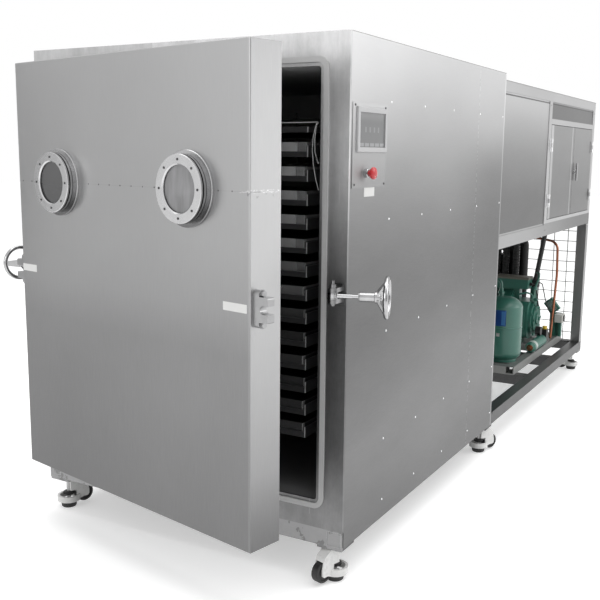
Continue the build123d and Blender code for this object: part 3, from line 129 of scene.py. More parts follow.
class Finish:
    """One procedural material: a Principled shader and the nodes that feed it."""
    def __init__(self, name, **constants):
        self.data = bpy.data.materials.new(name)
        self.data.use_nodes = True
        self.tree = self.data.node_tree
        self.shader = self.tree.nodes["Principled BSDF"]
        for key, value in constants.items():
            self.shader.inputs[key.replace("_", " ")].default_value = value
        split = self.node("SeparateXYZ", {}, self.place()).out.node
        self.x, self.y, self.z = (Sock(self, out) for out in split.outputs)

    def plug(self, socket, value):
        if isinstance(value, Sock):
            self.tree.links.new(value.out, socket)
        else:
            socket.default_value = value

    def node(self, kind, settings, *values, **named):
        made = self.tree.nodes.new("ShaderNode" + kind)
        for key, value in settings.items():
            setattr(made, key, value)
        for socket, value in zip(made.inputs, values):
            self.plug(socket, value)
        for key, value in named.items():
            self.plug(made.inputs[key.replace("_", " ")], value)
        return Sock(self, made.outputs[0])

    def place(self, scale=(1, 1, 1)):
        """The cabinet's coordinates, stretched."""
        here = self.node("TexCoord", {})
        here.out = here.out.node.outputs["Object"]
        moved = tuple(f * s for f, s in zip(FOOT, scale))
        return self.node("Mapping", {}, here, moved, (0, 0, 0), scale)

    def noise(self, scale, detail=2.0, stretch=(1, 1, 1), rough=0.5):
        return self.node("TexNoise", {}, Vector=self.place(stretch), Scale=scale, Detail=detail,
                         Roughness=rough)

    def step(self, value, low, high):
        """Rises smoothly from nought to one between two values."""
        return self.node("MapRange", {"interpolation_type": "SMOOTHSTEP"}, value, low, high, 0.0, 1.0)

    def over_height(self, *stops):
        """A value that changes smoothly through (height, value) pairs, lowest first."""
        made = self.tree.nodes.new("ShaderNodeValToRGB")
        made.color_ramp.interpolation = "B_SPLINE"
        points = made.color_ramp.elements
        while len(points) < len(stops):
            points.new(0.5)
        for point, (height, value) in zip(points, stops):
            point.position, point.color = height / 2.0, (value, value, value, 1)
        self.plug(made.inputs[0], self.z / 2.0)
        return Sock(self, made.outputs[0])

    def door_place(self):
        """How far across the closed door, and how far through it."""
        dx, dy = self.x - HINGE.x, self.y - HINGE.y
        c, w = cos(SWING), sin(SWING)
        return dx * c + dy * w + HINGE.x, dy * c - dx * w + HINGE.y

    def mix(self, mask, a, b):
        made = self.tree.nodes.new("ShaderNodeMix")
        made.data_type = "RGBA"
        for index, value in ((0, mask), (6, rgb(a)), (7, rgb(b))):
            self.plug(made.inputs[index], value)
        return Sock(self, made.outputs[2])

    def tone(self, shade, tint=1.006):
        return self.node("CombineColor", {}, shade, shade, shade * tint)

    def feed(self, socket, value):
        self.plug(self.shader.inputs[socket], value)

    def bump(self, height, strength, distance):
        self.feed("Normal", self.node("Bump", {}, Strength=strength, Distance=distance, Height=height))


print("a finish knows", *[n for n in vars(Finish) if n[0] != "_"])

# %% Dressing a part
def paint(mesh, finish):
    mesh.materials.clear()
    mesh.materials.append(finish.data)


def dress(finish, *nodes):
    for node in nodes:
        paint(NODES[node].data, finish)


print(len(NODES), "parts to dress")

# %% [markdown]
# ## Light
# The machine stands in an even, white surround. The world is white to the camera, to glass and to
# polished metal; large soft panels light the sheet metal. The floor is a plain pale plane that keeps
# the machine's soft shadow. Two dark screens stand out of sight: the polished parts mirror them, which
# draws their edges.

# %% World
def link_all(tree, *links):
    """Joins (node, its output, next node, its input) rows, sockets by name or number."""
    for start, output, end, into in links:
        tree.links.new(start.outputs[output], end.inputs[into])


def direct_rays(tree):
    """A node that is one for rays from the camera, from gloss and through glass."""
    path, either, any_ray = (tree.nodes.new("ShaderNode" + k) for k in ("LightPath", "Math", "Math"))
    either.operation = any_ray.operation = "MAXIMUM"
    link_all(tree, (path, "Is Camera Ray", either, 0), (path, "Is Glossy Ray", either, 1),
             (either, 0, any_ray, 0), (path, "Is Transmission Ray", any_ray, 1))
    return any_ray


def make_world(strength=0.8):
    world = bpy.data.worlds.new("surround")
    bpy.context.scene.world = world
    world.use_nodes = True
    t = world.node_tree
    t.nodes.clear()
    kinds = ("TexCoord", "SeparateXYZ", "ValToRGB", "Background", "Background", "MixShader", "OutputWorld")
    coord, split, ramp, lit, back, mix, out = (t.nodes.new("ShaderNode" + k) for k in kinds)
    for stop, position, level in zip(ramp.color_ramp.elements, (0.0, 0.35), (0.42, 1.0)):
        stop.position, stop.color = position, (level, level, level, 1)
    lit.inputs[1].default_value = strength
    back.inputs[0].default_value = (1, 1, 1, 1)
    link_all(t, (coord, "Generated", split, 0), (split, 2, ramp, 0), (ramp, 0, lit, 0),
             (direct_rays(t), 0, mix, 0), (lit, 0, mix, 1), (back, 0, mix, 2), (mix, 0, out, 0))


make_world()
print("world", bpy.context.scene.world.name)

# %% Floor, soft panels and dark screens
def soft_panel(name, place, aim, size, watts):
    data = bpy.data.lights.new(name, "AREA")
    data.shape, data.size, data.size_y, data.energy = "RECTANGLE", size[0], size[1], watts
    lamp = into_scene(name, data)
    lamp.location = Vector(place) - FOOT
    lamp.rotation_euler = (Vector(aim) - Vector(place)).to_track_quat("-Z", "Y").to_euler()


def flat_sheet(name, corners, material):
    mesh = bpy.data.meshes.new(name)
    mesh.from_pydata([Vector(c) - FOOT for c in corners], [], [(0, 1, 2, 3)])
    mesh.materials.append(material)
    return into_scene(name, mesh)


def make_floor(glow_level=0.42):
    m = bpy.data.materials.new("pale_floor")
    m.use_nodes = True
    t = m.node_tree
    t.nodes.clear()
    kinds = ("BsdfDiffuse", "Emission", "AddShader", "OutputMaterial", "Math")
    diffuse, glow, add, out, scale = (t.nodes.new("ShaderNode" + k) for k in kinds)
    diffuse.inputs[0].default_value = (0.8, 0.8, 0.8, 1)
    scale.operation = "MULTIPLY"
    scale.inputs[1].default_value = glow_level
    link_all(t, (direct_rays(t), 0, scale, 0), (scale, 0, glow, 1), (diffuse, 0, add, 0), (glow, 0, add, 1),
             (add, 0, out, 0))
    s = 30.0
    flat_sheet("floor", [(-s, -s, 0), (s, -s, 0), (s, s, 0), (-s, s, 0)], m)


def dark_screen(name, start, end, low, high):
    """An upright dark screen that only reflections show."""
    if name not in bpy.data.materials:
        m = bpy.data.materials.new(name)
        m.use_nodes = True
        m.node_tree.nodes["Principled BSDF"].inputs["Base Color"].default_value = (0.02, 0.02, 0.02, 1)
    corners = [(*start, low), (*end, low), (*end, high), (*start, high)]
    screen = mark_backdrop(flat_sheet(name, corners, bpy.data.materials[name])) or bpy.data.objects[name]
    for ray in ("visible_camera", "visible_diffuse", "visible_transmission", "visible_shadow"):
        setattr(screen, ray, False)


make_floor()
soft_panel("ceiling_panel", (0.5, 1.0, 5.2), (0.0, 1.2, 0.0), (6.0, 7.0), 240)
soft_panel("front_panel", (-1.5, -6.5, 3.0), (0.0, 0.0, 1.0), (4.0, 3.0), 90)
soft_panel("side_panel", (6.5, 4.5, 3.4), (0.0, 1.5, 1.2), (5.0, 3.0), 120)
dark_screen("left_screen", (-6.8, -2.4), (-6.8, 0.4), 0.0, 3.2)
dark_screen("right_screen", (5.6, -3.6), (6.6, -1.2), 0.0, 3.0)
print("light set")

# %% [markdown]
# ## Brushed sheet
# The cabinet is made of satin stainless sheet. Its look comes from three scales: fine scratches that all
# run one way, broad soft clouds where the sheet was wiped, and a slow change of tone over its height,
# which is painted reflection and shade.
# Scratches and clouds are noise textures with their own stretch, and they feed the colour, the
# roughness and a very small bump. The slow change is a colour ramp over the height, because its
# stops can be set one by one.

# %% Satin stainless
def satin(name, tone, rough, grain, cloud, spots=0.0, metallic=1.0, marks_and_light=None):
    f = Finish(name, Metallic=metallic)
    wide = f.noise(1.6, 3.0, rough=0.55)
    lines = f.noise(18.0, 2.0, grain)
    fine = f.noise(60.0, 2.0, grain)
    shade = (wide - 0.5) * cloud * 2 + (lines - 0.5) * 0.05 + tone
    if spots:
        mottle = f.noise(26.0, 4.0, rough=0.7)
        shade = shade + (mottle - 0.5) * spots
    # The marks function adds real marks and also painted reflection and shade to the tone
    if marks_and_light:
        shade = marks_and_light(f, shade)
    f.feed("Base Color", f.tone(shade))
    f.feed("Roughness", ((wide - 0.5) * 0.12 + (fine - 0.5) * 0.16 + rough).clip())
    f.bump(fine, 0.12, 0.0006)
    return f


print("satin sheet ready")

# %% Marks and painted light of the door
SIDE, DOOR_EDGE = 0.675, 0.6088
SHEETS_MEET, BAY_FRONT = 1.25, 1.63
BAY_DOORS_FROM, BAY_DOORS_MEET, BAY_DOORS_TO = 2.53, 3.042, 3.59
PROUD_OF_SIDE = SIDE - 0.0005


def door_marks(f, shade):
    """Painted reflection and shade: darker low down, lighter on the side face and along the corner.
    A faint welded seam runs across, with a ground patch at its right end.
    """
    across, through = f.door_place()
    edge = across.over(DOOR_EDGE)
    # Painted reflection and shade over the height, one ramp for the front and one for the side face
    front = f.over_height((0.28, 0.163), (0.55, 0.178), (0.86, 0.218), (1.0, 0.30), (1.2, 0.39), (1.5, 0.44),
                          (1.76, 0.465))
    side = f.over_height((0.28, 0.10), (0.5, 0.235), (1.0, 0.40), (1.3, 0.50), (1.76, 0.18))
    # A painted highlight along the rounded corner
    corner = across.near(0.606, 0.006) * 0.03
    # Painted reflection: lighter to the left high up, lighter to the right low down
    left = 1 - f.step(across, -0.45, 0.25)
    low = 1 - f.step(f.z, 0.6, 1.1)
    painted_reflection_tilt = (left * 0.12 + 0.97) * (1 - low) + (1.05 - left * 0.16) * low
    sheet = front * painted_reflection_tilt * (1 - edge) + side * edge + corner
    seam = f.z.between(1.3484, 1.3496) * through.under(-0.13)
    end = across.over(0.565)
    patch = f.z.between(1.3455, 1.3545) * end * f.noise(90.0, 3.0, (1.0, 1.0, 5.0)).over(0.56)
    smudge = f.noise(48.0, 2.0).over(0.64) * f.z.between(1.328, 1.352) * end
    sheet = sheet * (1 - f.z.over(1.7742) * 0.5)
    return (sheet + shade - seam * 0.05 + patch * 0.25 - smudge * 0.12).clip()


print("door edge at", DOOR_EDGE)

# %% Marks and painted light of the side sheets and the compartment
def panel_marks(f, shade):
    """Painted reflection and shade: the side sheets are palest high up and darkest about the middle,
    with painted highlights along folds and lips.
    """
    outside = f.x.over(0.6)
    # Painted reflection over the height of the cabinet's sheets
    cabinet = f.over_height((0.20, 0.130), (0.34, 0.160), (0.52, 0.158), (0.80, 0.095), (1.02, 0.120),
                            (1.25, 0.210), (1.5, 0.38), (1.78, 0.61))
    # Painted shade, deeper towards the rear and about the middle
    rear_painted_shade = f.step(f.y, 0.8, 1.6) * (f.step(f.z, 0.9, 1.1) * 0.2 + 0.16) * (1 - f.step(f.z, 1.35, 1.6))
    # Painted highlights on the folded front and rear edges
    fold_highlights = f.y.under(0.007) | f.y.between(1.612, 1.6255)
    beads = f.y.near(SHEETS_MEET, 0.0028) * f.noise(60.0, 3.0, (0.2, 0.2, 1.0)).over(0.5)
    cabinet = (cabinet * (1 - rear_painted_shade) + fold_highlights * 0.16 + beads * 0.14) * f.y.under(BAY_FRONT)
    # Painted reflection over the height of the bay's sheets, with its own ramp for the doors and a darker
    # band along their tops
    bay = f.over_height((0.9, 0.10), (1.1, 0.10), (1.28, 0.115), (1.48, 0.26), (1.6, 0.36), (1.72, 0.54))
    doors = f.y.over(BAY_DOORS_FROM) * outside * f.y.under(BAY_DOORS_TO)
    bay = bay * (1 - doors) + f.over_height((1.08, 0.16), (1.22, 0.14), (1.4, 0.205), (1.62, 0.28)) * doors
    bay = bay * (1 - f.z.between(1.652, 1.742) * doors * 0.55)
    # Painted highlights along the doors' lips and edges
    lip_highlights = f.y.near(BAY_DOORS_MEET, 0.008) | f.z.between(1.071, 1.082)
    lip_highlights = lip_highlights | f.y.over(BAY_DOORS_FROM) * f.y.under(2.578)
    bay = bay + lip_highlights * outside * f.z.under(1.64) * 0.25
    # A dark joint at the top; the outer faces at the right side get a painted highlight
    bay = bay * (1 - f.z.near(1.7425, 0.0035) * 0.8) + f.x.over(PROUD_OF_SIDE) * 0.3
    cloud = f.noise(2.6, 3.0, (0.6, 0.6, 2.2), 0.6)
    return (cabinet + bay * f.y.over(BAY_FRONT) + shade + (cloud - 0.5) * 0.05).clip()


print("compartment doors meet at", BAY_DOORS_MEET)

# %% Marks and painted light of the flange, tubes, plate and chamber
def flange_marks(f, shade):
    """Stained and scratched sheet round the opening, with painted reflection palest along its top."""
    stains = f.noise(7.0, 5.0, (1.0, 1.0, 0.5), 0.72)
    scratch = f.noise(34.0, 3.0, (1.0, 1.0, 0.08), 0.6).over(0.66)
    drag = f.noise(5.0, 4.0, (6.0, 1.0, 0.35), 0.7)
    # Painted reflection and shade over the height, a little darker at the top left
    height = f.over_height((0.2, 0.22), (0.3, 0.20), (0.55, 0.14), (0.78, 0.115), (1.0, 0.13), (1.2, 0.29),
                           (1.45, 0.69), (1.7, 0.31), (1.8, 0.57))
    height = height * (1 - f.x.under(-0.1) * f.z.over(1.7) * 0.12)
    return (height * ((stains - 0.5) * 0.9 + (drag - 0.5) * 0.3 + 1) + shade + scratch * 0.06).clip()


def tube_marks(f, shade):
    """Heat stains beside the welds of the base; painted light keeps the front ends paler than the long sides.
    """
    stain = f.noise(14.0, 4.0, rough=0.7).over(0.56)
    at_casters = (f.y.between(-0.01, 0.09) | f.y.between(1.54, 1.66)) | f.y.between(3.54, 3.66)
    # Painted shade on the long sides, painted light on the front ends
    along = f.y.over(0.012)
    return (0.29 - along * 0.185 + shade - stain * at_casters * 0.10).clip()


def plate_marks(f, shade):
    """Painted reflection: the control plate is palest at its top, like the sheet behind it."""
    return (f.over_height((1.36, 0.30), (1.45, 0.36), (1.54, 0.42), (1.64, 0.52)) + shade).clip()


def chamber_marks(f, shade):
    """Painted shade darkens the bottom of the chamber, which is scratched where trays were dragged."""
    scratch = f.noise(22.0, 3.0, (1.0, 0.15, 1.0), 0.6).over(0.7) * f.z.under(0.45)
    return (shade * (f.step(f.z, 0.32, 0.6) * 0.65 + 0.25) + scratch * 0.10).clip()


def post_marks(f, shade):
    """Painted shade: the posts under the compartment are darker than the beams above, and the lower
    beam darkens towards the rear; the outer faces at the right side get a painted highlight.
    """
    lower = f.z.between(1.005, 1.08)
    painted_fade_to_rear = f.step(f.y, 1.8, 3.5) * 0.22
    post = f.z.over(1.0) * 0.20 + 0.27
    return (post * (1 - lower) + lower * (0.37 - painted_fade_to_rear) + shade + f.x.over(PROUD_OF_SIDE) * 0.3).clip()


print("marks ready")

# %% Sheet metal on its parts
door_skin = satin("door_satin_sheet", 0.0, 0.36, (60.0, 60.0, 1.0), 0.025, marks_and_light=door_marks)
side_skin = satin("side_satin_sheet", 0.0, 0.33, (1.0, 1.0, 60.0), 0.02, marks_and_light=panel_marks)
frame_skin = satin("frame_satin_tube", 0.0, 0.36, (1.0, 60.0, 60.0), 0.05, marks_and_light=post_marks)
base_skin = satin("base_satin_tube", 0.0, 0.42, (1.0, 60.0, 60.0), 0.03, 0.05, marks_and_light=tube_marks)
flange_skin = satin("dull_flange", 0.0, 0.48, (40.0, 40.0, 1.0), 0.04, 0.05, marks_and_light=flange_marks)
top_skin = satin("roof_satin_sheet", 0.26, 0.36, (1.0, 60.0, 60.0), 0.03)
inner_skin = satin("chamber_sheet", 0.62, 0.5, (1.0, 60.0, 60.0), 0.05, metallic=0.2, marks_and_light=chamber_marks)
door_liner = satin("door_liner_sheet", 0.30, 0.40, (60.0, 1.0, 60.0), 0.05)
plate_skin = satin("control_plate_sheet", 0.0, 0.58, (60.0, 60.0, 1.0), 0.02, marks_and_light=plate_marks)
dress(door_skin, "door_shell")
dress(door_liner, "door_back_plate")
dress(side_skin, "right_panels", "left_panels", "bulkhead_panels", "bay_door_front", "bay_door_rear")
dress(top_skin, "top_panels")
dress(plate_skin, "control_plate")
dress(frame_skin, "upright_frame")
dress(base_skin, "base_frame", "caster_plates")
dress(flange_skin, "front_plate")
dress(inner_skin, "chamber_shell", "cold_trap_coil")
print("sheet metal dressed")

# %% [markdown]
# ## Fittings, paints, rubber and plastics
# Turned fittings are smoother than the sheet, with a trace of wear in their gloss. Paints and plastics
# share one recipe: two close tones mixed by a worn mask, a roughness that follows it, and a shallow
# bump. Where one part carries several materials, a mask on its own coordinates tells them apart.

# %% Polished metal
def polished(name, tone=0.62, rough=0.14, wear_amount=0.10, marks_and_light=None):
    f = Finish(name, Metallic=1.0)
    wear = f.noise(30.0, 3.0)
    lathe = f.noise(140.0, 2.0, (1.0, 1.0, 0.2))
    shade = (wear - 0.5) * wear_amount + tone
    # The marks function can paint shade and reflection into the tone
    if marks_and_light:
        shade = marks_and_light(f, shade)
    f.feed("Base Color", f.tone(shade.clip(), 1.01))
    f.feed("Roughness", ((wear - 0.5) * 0.14 + (lathe - 0.5) * 0.10 + rough).clip())
    f.bump(lathe, 0.06, 0.0003)
    return f


print("polish ready")

# %% Paint and plastic in two tones
class Coat(Finish):
    """Paint, rubber or plastic in two close tones, with places for parts of other colours."""
    def __init__(self, name, colour, rough=0.5, vary=0.12, grain=40.0, bump=0.1, metallic=0.0, **more):
        super().__init__(name, Metallic=metallic, **more)
        self.wear = self.noise(grain, 4.0, rough=0.6)
        wide = self.noise(3.5, 2.0)
        self.mask = ((self.wear - 0.5) * 0.6 + (wide - 0.5) * 0.7 + 0.5).clip()
        self.vary = vary
        self.colour = self.two_tones(colour)
        self.gloss = (self.wear - 0.5) * 0.14 + rough
        self.metal = None
        self.height = (bump, 0.0008)

    def two_tones(self, colour):
        dark = tuple(c * (1 - self.vary) for c in colour)
        light = tuple(min(1.0, c * (1 + self.vary)) for c in colour)
        return self.mix(self.mask, dark, light)

    def part(self, mask, colour, rough=None, metal=None):
        """Inside the mask the coat has another colour, and can have another gloss."""
        self.colour = self.mix(mask, self.colour, self.two_tones(colour))
        if rough is not None:
            self.gloss = self.gloss + mask * (rough - 0.45)
        if metal is not None:
            self.metal = mask * metal if self.metal is None else self.metal | (mask * metal)
        return self

    def done(self):
        self.feed("Base Color", self.colour)
        self.feed("Roughness", self.gloss.clip())
        if self.metal is not None:
            self.feed("Metallic", self.metal.clip())
        self.bump(self.wear, *self.height)
        return self


print("a coat also knows", *[n for n in vars(Coat) if n[0] != "_"])

# %% Turned fittings on their parts
BOLT_Z = 1.012


def ring_bands(f, shade):
    """Dark joints between the layers of a window's mounting, and painted shade on the sides,
    deepest below the middle.
    """
    depth = f.door_place()[1]
    joints = depth.near(-0.1630, 0.0025) * 0.9 | depth.near(-0.1515, 0.0018) * 0.55
    # Painted shade on the sides of the rings, deepest low down
    sides = depth.over(-0.1695)
    low = 1 - f.step(f.z, 1.26, 1.37)
    return shade * (1 - joints) * (1 - sides * low * 0.5) - sides * 0.10


def turned_bands(f, shade):
    """Painted reflection: a level turned rod is darkest along its top and its underside."""
    off = (f.z - BOLT_Z).size()
    return shade - f.step(off, 0.0035, 0.0075) * 0.16 - f.step(off, 0.008, 0.015) * 0.14


steel = polished("turned_steel", 0.46, 0.22)
ring_steel = polished("window_ring_steel", 0.56, 0.24, marks_and_light=ring_bands)
bolt_steel = polished("swing_bolt_steel", 0.50, 0.18, marks_and_light=turned_bands)
bright_steel = polished("polished_steel", 0.42, 0.15, 0.22)
dull_steel = polished("dull_steel", 0.26, 0.30)
fork_steel = polished("satin_fork", 0.34, 0.34)
dress(ring_steel, "sight_flanges", "sight_rings")
dress(dull_steel, "closure_brackets", "right_thrust_washer", "left_thrust_washer")
dress(fork_steel, "clamp_forks", "door_hinge_leaves")
dress(bright_steel, "bay_door_latch", "right_handwheel", "left_handwheel")
dress(bolt_steel, "right_swing_bolt", "left_swing_bolt")
print("fittings dressed")

# %% Paints, rubber and plastics
GREEN, BLACK = (0.031, 0.138, 0.103), (0.012, 0.012, 0.012)
green_paint = Coat("machine_green_enamel", GREEN, 0.36, 0.16, Coat_Weight=0.2).done()
black_rubber = Coat("black_rubber", (0.016, 0.016, 0.016), 0.6, 0.2, bump=0.2).done()
black_metal = Coat("black_enamel", BLACK, 0.4, 0.2).done()
white_cast = Coat("white_casting", (0.74, 0.74, 0.73), 0.28, 0.05, Coat_Weight=0.3).done()
seal_rubber = Coat("pale_seal_rubber", (0.48, 0.48, 0.48), 0.5, 0.06).done()
box_plastic = Coat("grey_box_plastic", (0.42, 0.43, 0.41), 0.5, 0.06).done()
bezel_plastic = Coat("silver_bezel", (0.46, 0.46, 0.465), 0.40, 0.05, metallic=0.3).done()
label_film = Coat("blank_label", (0.70, 0.70, 0.69), 0.45, 0.03, bump=0.02).done()
blue_film = Coat("blue_label", (0.010, 0.085, 0.36), 0.4, 0.08, bump=0.02).done()
pale_blue = Coat("pale_blue_label", (0.06, 0.25, 0.60), 0.4, 0.06, bump=0.02).done()
copper_metal = Coat("copper_tube", (0.34, 0.13, 0.075), 0.34, 0.22, metallic=0.9).done()
wire_metal = Coat("guard_wire", (0.17, 0.17, 0.17), 0.45, 0.1, metallic=0.6).done()
wheel_rubber = Coat("wheel_rubber", (0.014, 0.014, 0.014), 0.5, 0.2, bump=0.15).done()
print(len(bpy.data.materials), "finishes so far")

# %% Skid, trays and shelves in several finishes
channel = Coat("skid_channel_paint", (0.30, 0.305, 0.295), 0.42, 0.18, metallic=0.2)
channel.part(channel.z.between(0.2395, 0.2475), (0.16, 0.17, 0.165)).done()

HIGHLIGHT_PAINT, TRAY_FRONT, SHELF_FRONT = (0.9, 0.9, 0.9), 0.0700, 0.0508
tray = Coat("tray_sheet", (0.17, 0.17, 0.172), 0.24, 0.2, metallic=0.8)
# Painted light: the upper trays are paler, and painted highlights fall on parts of the tray fronts
tray.part(tray.step(tray.z, 0.86, 1.1), (0.62, 0.62, 0.622))
fronts = tray.y.under(TRAY_FRONT)
painted_glint = tray.step(tray.x, 0.33, 0.42) * tray.x.under(0.452) * tray.step(tray.z, 0.95, 1.25)
tray.part(fronts * painted_glint, HIGHLIGHT_PAINT, 0.6)
tray.part(fronts * tray.x.over(0.4835), HIGHLIGHT_PAINT).done()
shelf = Coat("shelf_plate", (0.085, 0.085, 0.087), 0.34, 0.15, metallic=0.7)
# A painted highlight on the front edge of the guides at the right
shelf.part(shelf.y.under(SHELF_FRONT) * shelf.x.over(0.4965), (0.85, 0.85, 0.85)).done()
print("trays and shelves coated")

# %% Terminal box, drier, gauge stand and feet
terminals = Coat("terminal_box_enamel", GREEN, 0.4, 0.12)
terminals.part(terminals.z.over(0.6548), (0.150, 0.145, 0.122), 0.5).done()

VALVE_FROM, VALVE_TO = 3.158, 3.2042
drier = Coat("drier_enamel", GREEN, 0.36, 0.12)
valve = drier.y.between(VALVE_FROM, VALVE_TO)
sleeve = drier.x.between(0.50, 0.60) * drier.y.between(3.03, VALVE_FROM) * drier.z.between(0.3145, 0.40)
pale_band = drier.y.between(2.872, 2.912) * drier.z.between(0.24, 0.315)
yellow_cap = valve * drier.z.between(0.3432, 0.37)
copper_end, brass_end = drier.y.under(2.8325), drier.y.over(VALVE_TO)
for mask, *looks in ((pale_band, (0.42, 0.47, 0.44), 0.5), (copper_end, (0.34, 0.15, 0.08), 0.35, 0.9),
                     (valve, BLACK, 0.45), (sleeve, BLACK, 0.45), (yellow_cap, (0.62, 0.42, 0.02), 0.4),
                     (brass_end, (0.42, 0.27, 0.09), 0.35, 0.9)):
    drier.part(mask, *looks)
drier.done()

stand = Coat("stand_enamel", GREEN, 0.4, 0.12)
switch = stand.x.between(0.5455, 0.61) * stand.y.between(3.37, 3.4598) * stand.z.between(0.345, 0.415)
stand.part(switch, (0.50, 0.50, 0.47), 0.5)
stand.part(stand.y.under(3.4588) * stand.z.over(0.416), (0.40, 0.41, 0.41), 0.3, 0.8).done()

foot = Coat("levelling_pad_rubber", (0.016, 0.016, 0.016), 0.55, 0.2, bump=0.2)
foot.part(foot.z.between(0.0222, 0.0515) | foot.z.over(0.0645), (0.42, 0.42, 0.42), 0.3, 0.9).done()
print("drier has", len(drier.tree.nodes), "nodes")

# %% Stop button and screen
BUTTON_Y, BUTTON_Z, RING_OUT, RING_IN, SOFT = 0.116, 1.397, 0.0135, 0.0105, 0.0006
button = Coat("red_button", (0.50, 0.014, 0.02), 0.25, 0.06, bump=0.0, Coat_Weight=0.3)
off_y, off_z = button.y - BUTTON_Y, button.z - BUTTON_Z
away = off_y * off_y + off_z * off_z
ring = button.step(away, (RING_IN - SOFT) ** 2, (RING_IN + SOFT) ** 2)
ring = ring * (1 - button.step(away, (RING_OUT - SOFT) ** 2, (RING_OUT + SOFT) ** 2))
arrows = ring * button.x.over(0.7160) * button.noise(70.0, 0.0).over(0.47)
button.part(arrows, (0.75, 0.55, 0.52)).done()

SCREEN_FACE, SCREEN_LEFT, SCREEN_WIDTH = 0.6794, 0.0612, 0.1926
screen = Coat("screen_glass", (0.165, 0.168, 0.170), 0.20, 0.05, bump=0.0)
face = screen.x.over(SCREEN_FACE)
across = (screen.y - SCREEN_LEFT) / SCREEN_WIDTH
tabs = (across * 5.0).repeat().near(0.5, 0.40)
cells = (across * 6.0).repeat().near(0.5, 0.16) * across.near(0.55, 0.34)
screen.part(face * screen.z.between(1.4825, 1.4935) * tabs, (0.30, 0.305, 0.31))
screen.part(face * screen.step(screen.z, 1.555, 1.600), (0.26, 0.262, 0.264))
screen.part(face * screen.z.between(1.528, 1.545) * cells, (0.24, 0.243, 0.246)).done()
print("screen", SCREEN_WIDTH, "wide")

# %% Paints and plastics on their parts
dress(green_paint, "receiver_tank", "compressor_body", "vacuum_pump")
dress(black_rubber, "suction_pipe", "vacuum_hoses")
for i in range(1, 7):
    dress(white_cast, f"caster_body_{i}")
    dress(wheel_rubber, f"caster_wheel_{i}")
for finish, node in ((channel, "skid_frame"), (terminals, "terminal_box"), (drier, "filter_drier"),
                     (stand, "gauge_stand"), (shelf, "shelf_rack"), (tray, "trays"), (foot, "levelling_feet"),
                     (seal_rubber, "door_seal"), (copper_metal, "copper_pipe"), (wire_metal, "end_guard"),
                     (bezel_plastic, "touch_bezel"), (screen, "touch_screen"), (steel, "estop_base"),
                     (button, "estop_button"), (box_plastic, "electrical_panel")):
    dress(finish, node)
print(len(bpy.data.materials), "finishes")

# %% [markdown]
# ## Window glass
# The sight windows look into a dark chamber, so their glass mostly shows the room. A shader that lets
# a third of the light through keeps both, and pale streaks in its colour stand for what it mirrors.

# %% Sight window glass
window = Finish("sight_glass", Transmission_Weight=0.35, IOR=1.5)
haze = window.noise(6.0, 3.0)
streaks = window.noise(5.0, 3.0, (4.0, 4.0, 0.8), 0.6)
# Painted reflection: the right pane is paler and streaked; both panes are a little lighter higher up
right = window.x.over(0.0)
depth = window.step(window.z, 1.26, 1.42) * 0.03
window.feed("Base Color", window.tone(0.085 + depth + right * 0.17 + right * (streaks - 0.4) * 0.5, 1.02))
window.feed("Roughness", haze * 0.10 + 0.04)
dress(window, "sight_glasses")
print("windows glazed")

# %% [markdown]
# ## Drawing small things as meshes
# Each small piece is built in bmesh: turned profiles for screws and dials, rounded plates for labels,
# and tubes that follow a rounded line. A piece is drawn where it sits on the cabinet, moved over to the
# model's origin with one matrix, and handed to the body that carries it.

# %% Meshes that ride on a body
def plain_mesh(name, draw, smooth=None):
    bm = bmesh.new()
    draw(bm)
    bmesh.ops.recalc_face_normals(bm, faces=bm.faces)
    for face in bm.faces:
        face.smooth = smooth is not None
    mesh = bpy.data.meshes.new(name)
    bm.to_mesh(mesh)
    bm.free()
    if smooth:
        mesh.set_sharp_from_angle(angle=radians(smooth))
    return mesh


def hand_over(name, mesh, finish, body, matrix=TO_MODEL):
    """Bakes the place into the mesh and lets the piece ride on a body."""
    mesh.transform(matrix)
    if finish:
        paint(mesh, finish)
    piece = into_scene(name, mesh)
    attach(piece, body)
    return piece


print("pieces can ride")

# %% Turned profiles and rounded plates
def ring_at(bm, sides, place):
    """Corners at evenly spaced angles, each where place(angle) says."""
    return [bm.verts.new(place(2 * pi * k / sides)) for k in range(sides)]


def skin(bm, loops):
    """Faces between neighbouring loops, closed at both ends."""
    for a, b in zip(loops, loops[1:]):
        for k in range(len(a)):
            j = (k + 1) % len(a)
            bm.faces.new((a[k], a[j], b[j], b[k]))
    bm.faces.new(loops[0][::-1])
    bm.faces.new(loops[-1])


def turn_profile(bm, profile, sides, matrix=Matrix()):
    """Revolves (radius, height) pairs about Z; a radius of nought closes the end."""
    rings = []
    for r, z in profile:
        count = sides if r > 0 else 1
        rings.append(ring_at(bm, count, lambda a: matrix @ Vector((r * cos(a), r * sin(a), z))))
    for a, b in zip(rings, rings[1:]):
        for k in range(sides):
            j = (k + 1) % sides
            corners = [a[k % len(a)], a[j % len(a)], b[j % len(b)], b[k % len(b)]]
            corners = [v for i, v in enumerate(corners) if v not in corners[:i]]
            if len(corners) > 2:
                bm.faces.new(corners)


def rounded_plate(bm, width, height, thick, radius, matrix, steps=4):
    """A plate with rounded corners and a broken front edge, centred, facing +Z."""
    def outline(inset, z):
        w, h, r = width / 2 - inset, height / 2 - inset, max(radius - inset, 1e-5)
        corners = []
        for sx, sy, start in ((1, 1, 0), (-1, 1, 90), (-1, -1, 180), (1, -1, 270)):
            cx, cy = sx * (w - r), sy * (h - r)
            for k in range(steps + 1):
                a = radians(start + 90 * k / steps)
                corners.append(bm.verts.new(matrix @ Vector((cx + r * cos(a), cy + r * sin(a), z))))
        return corners
    edge = min(thick * 0.4, radius * 0.5)
    skin(bm, [outline(0, 0), outline(0, thick - edge), outline(edge, thick)])


print("profiles ready")

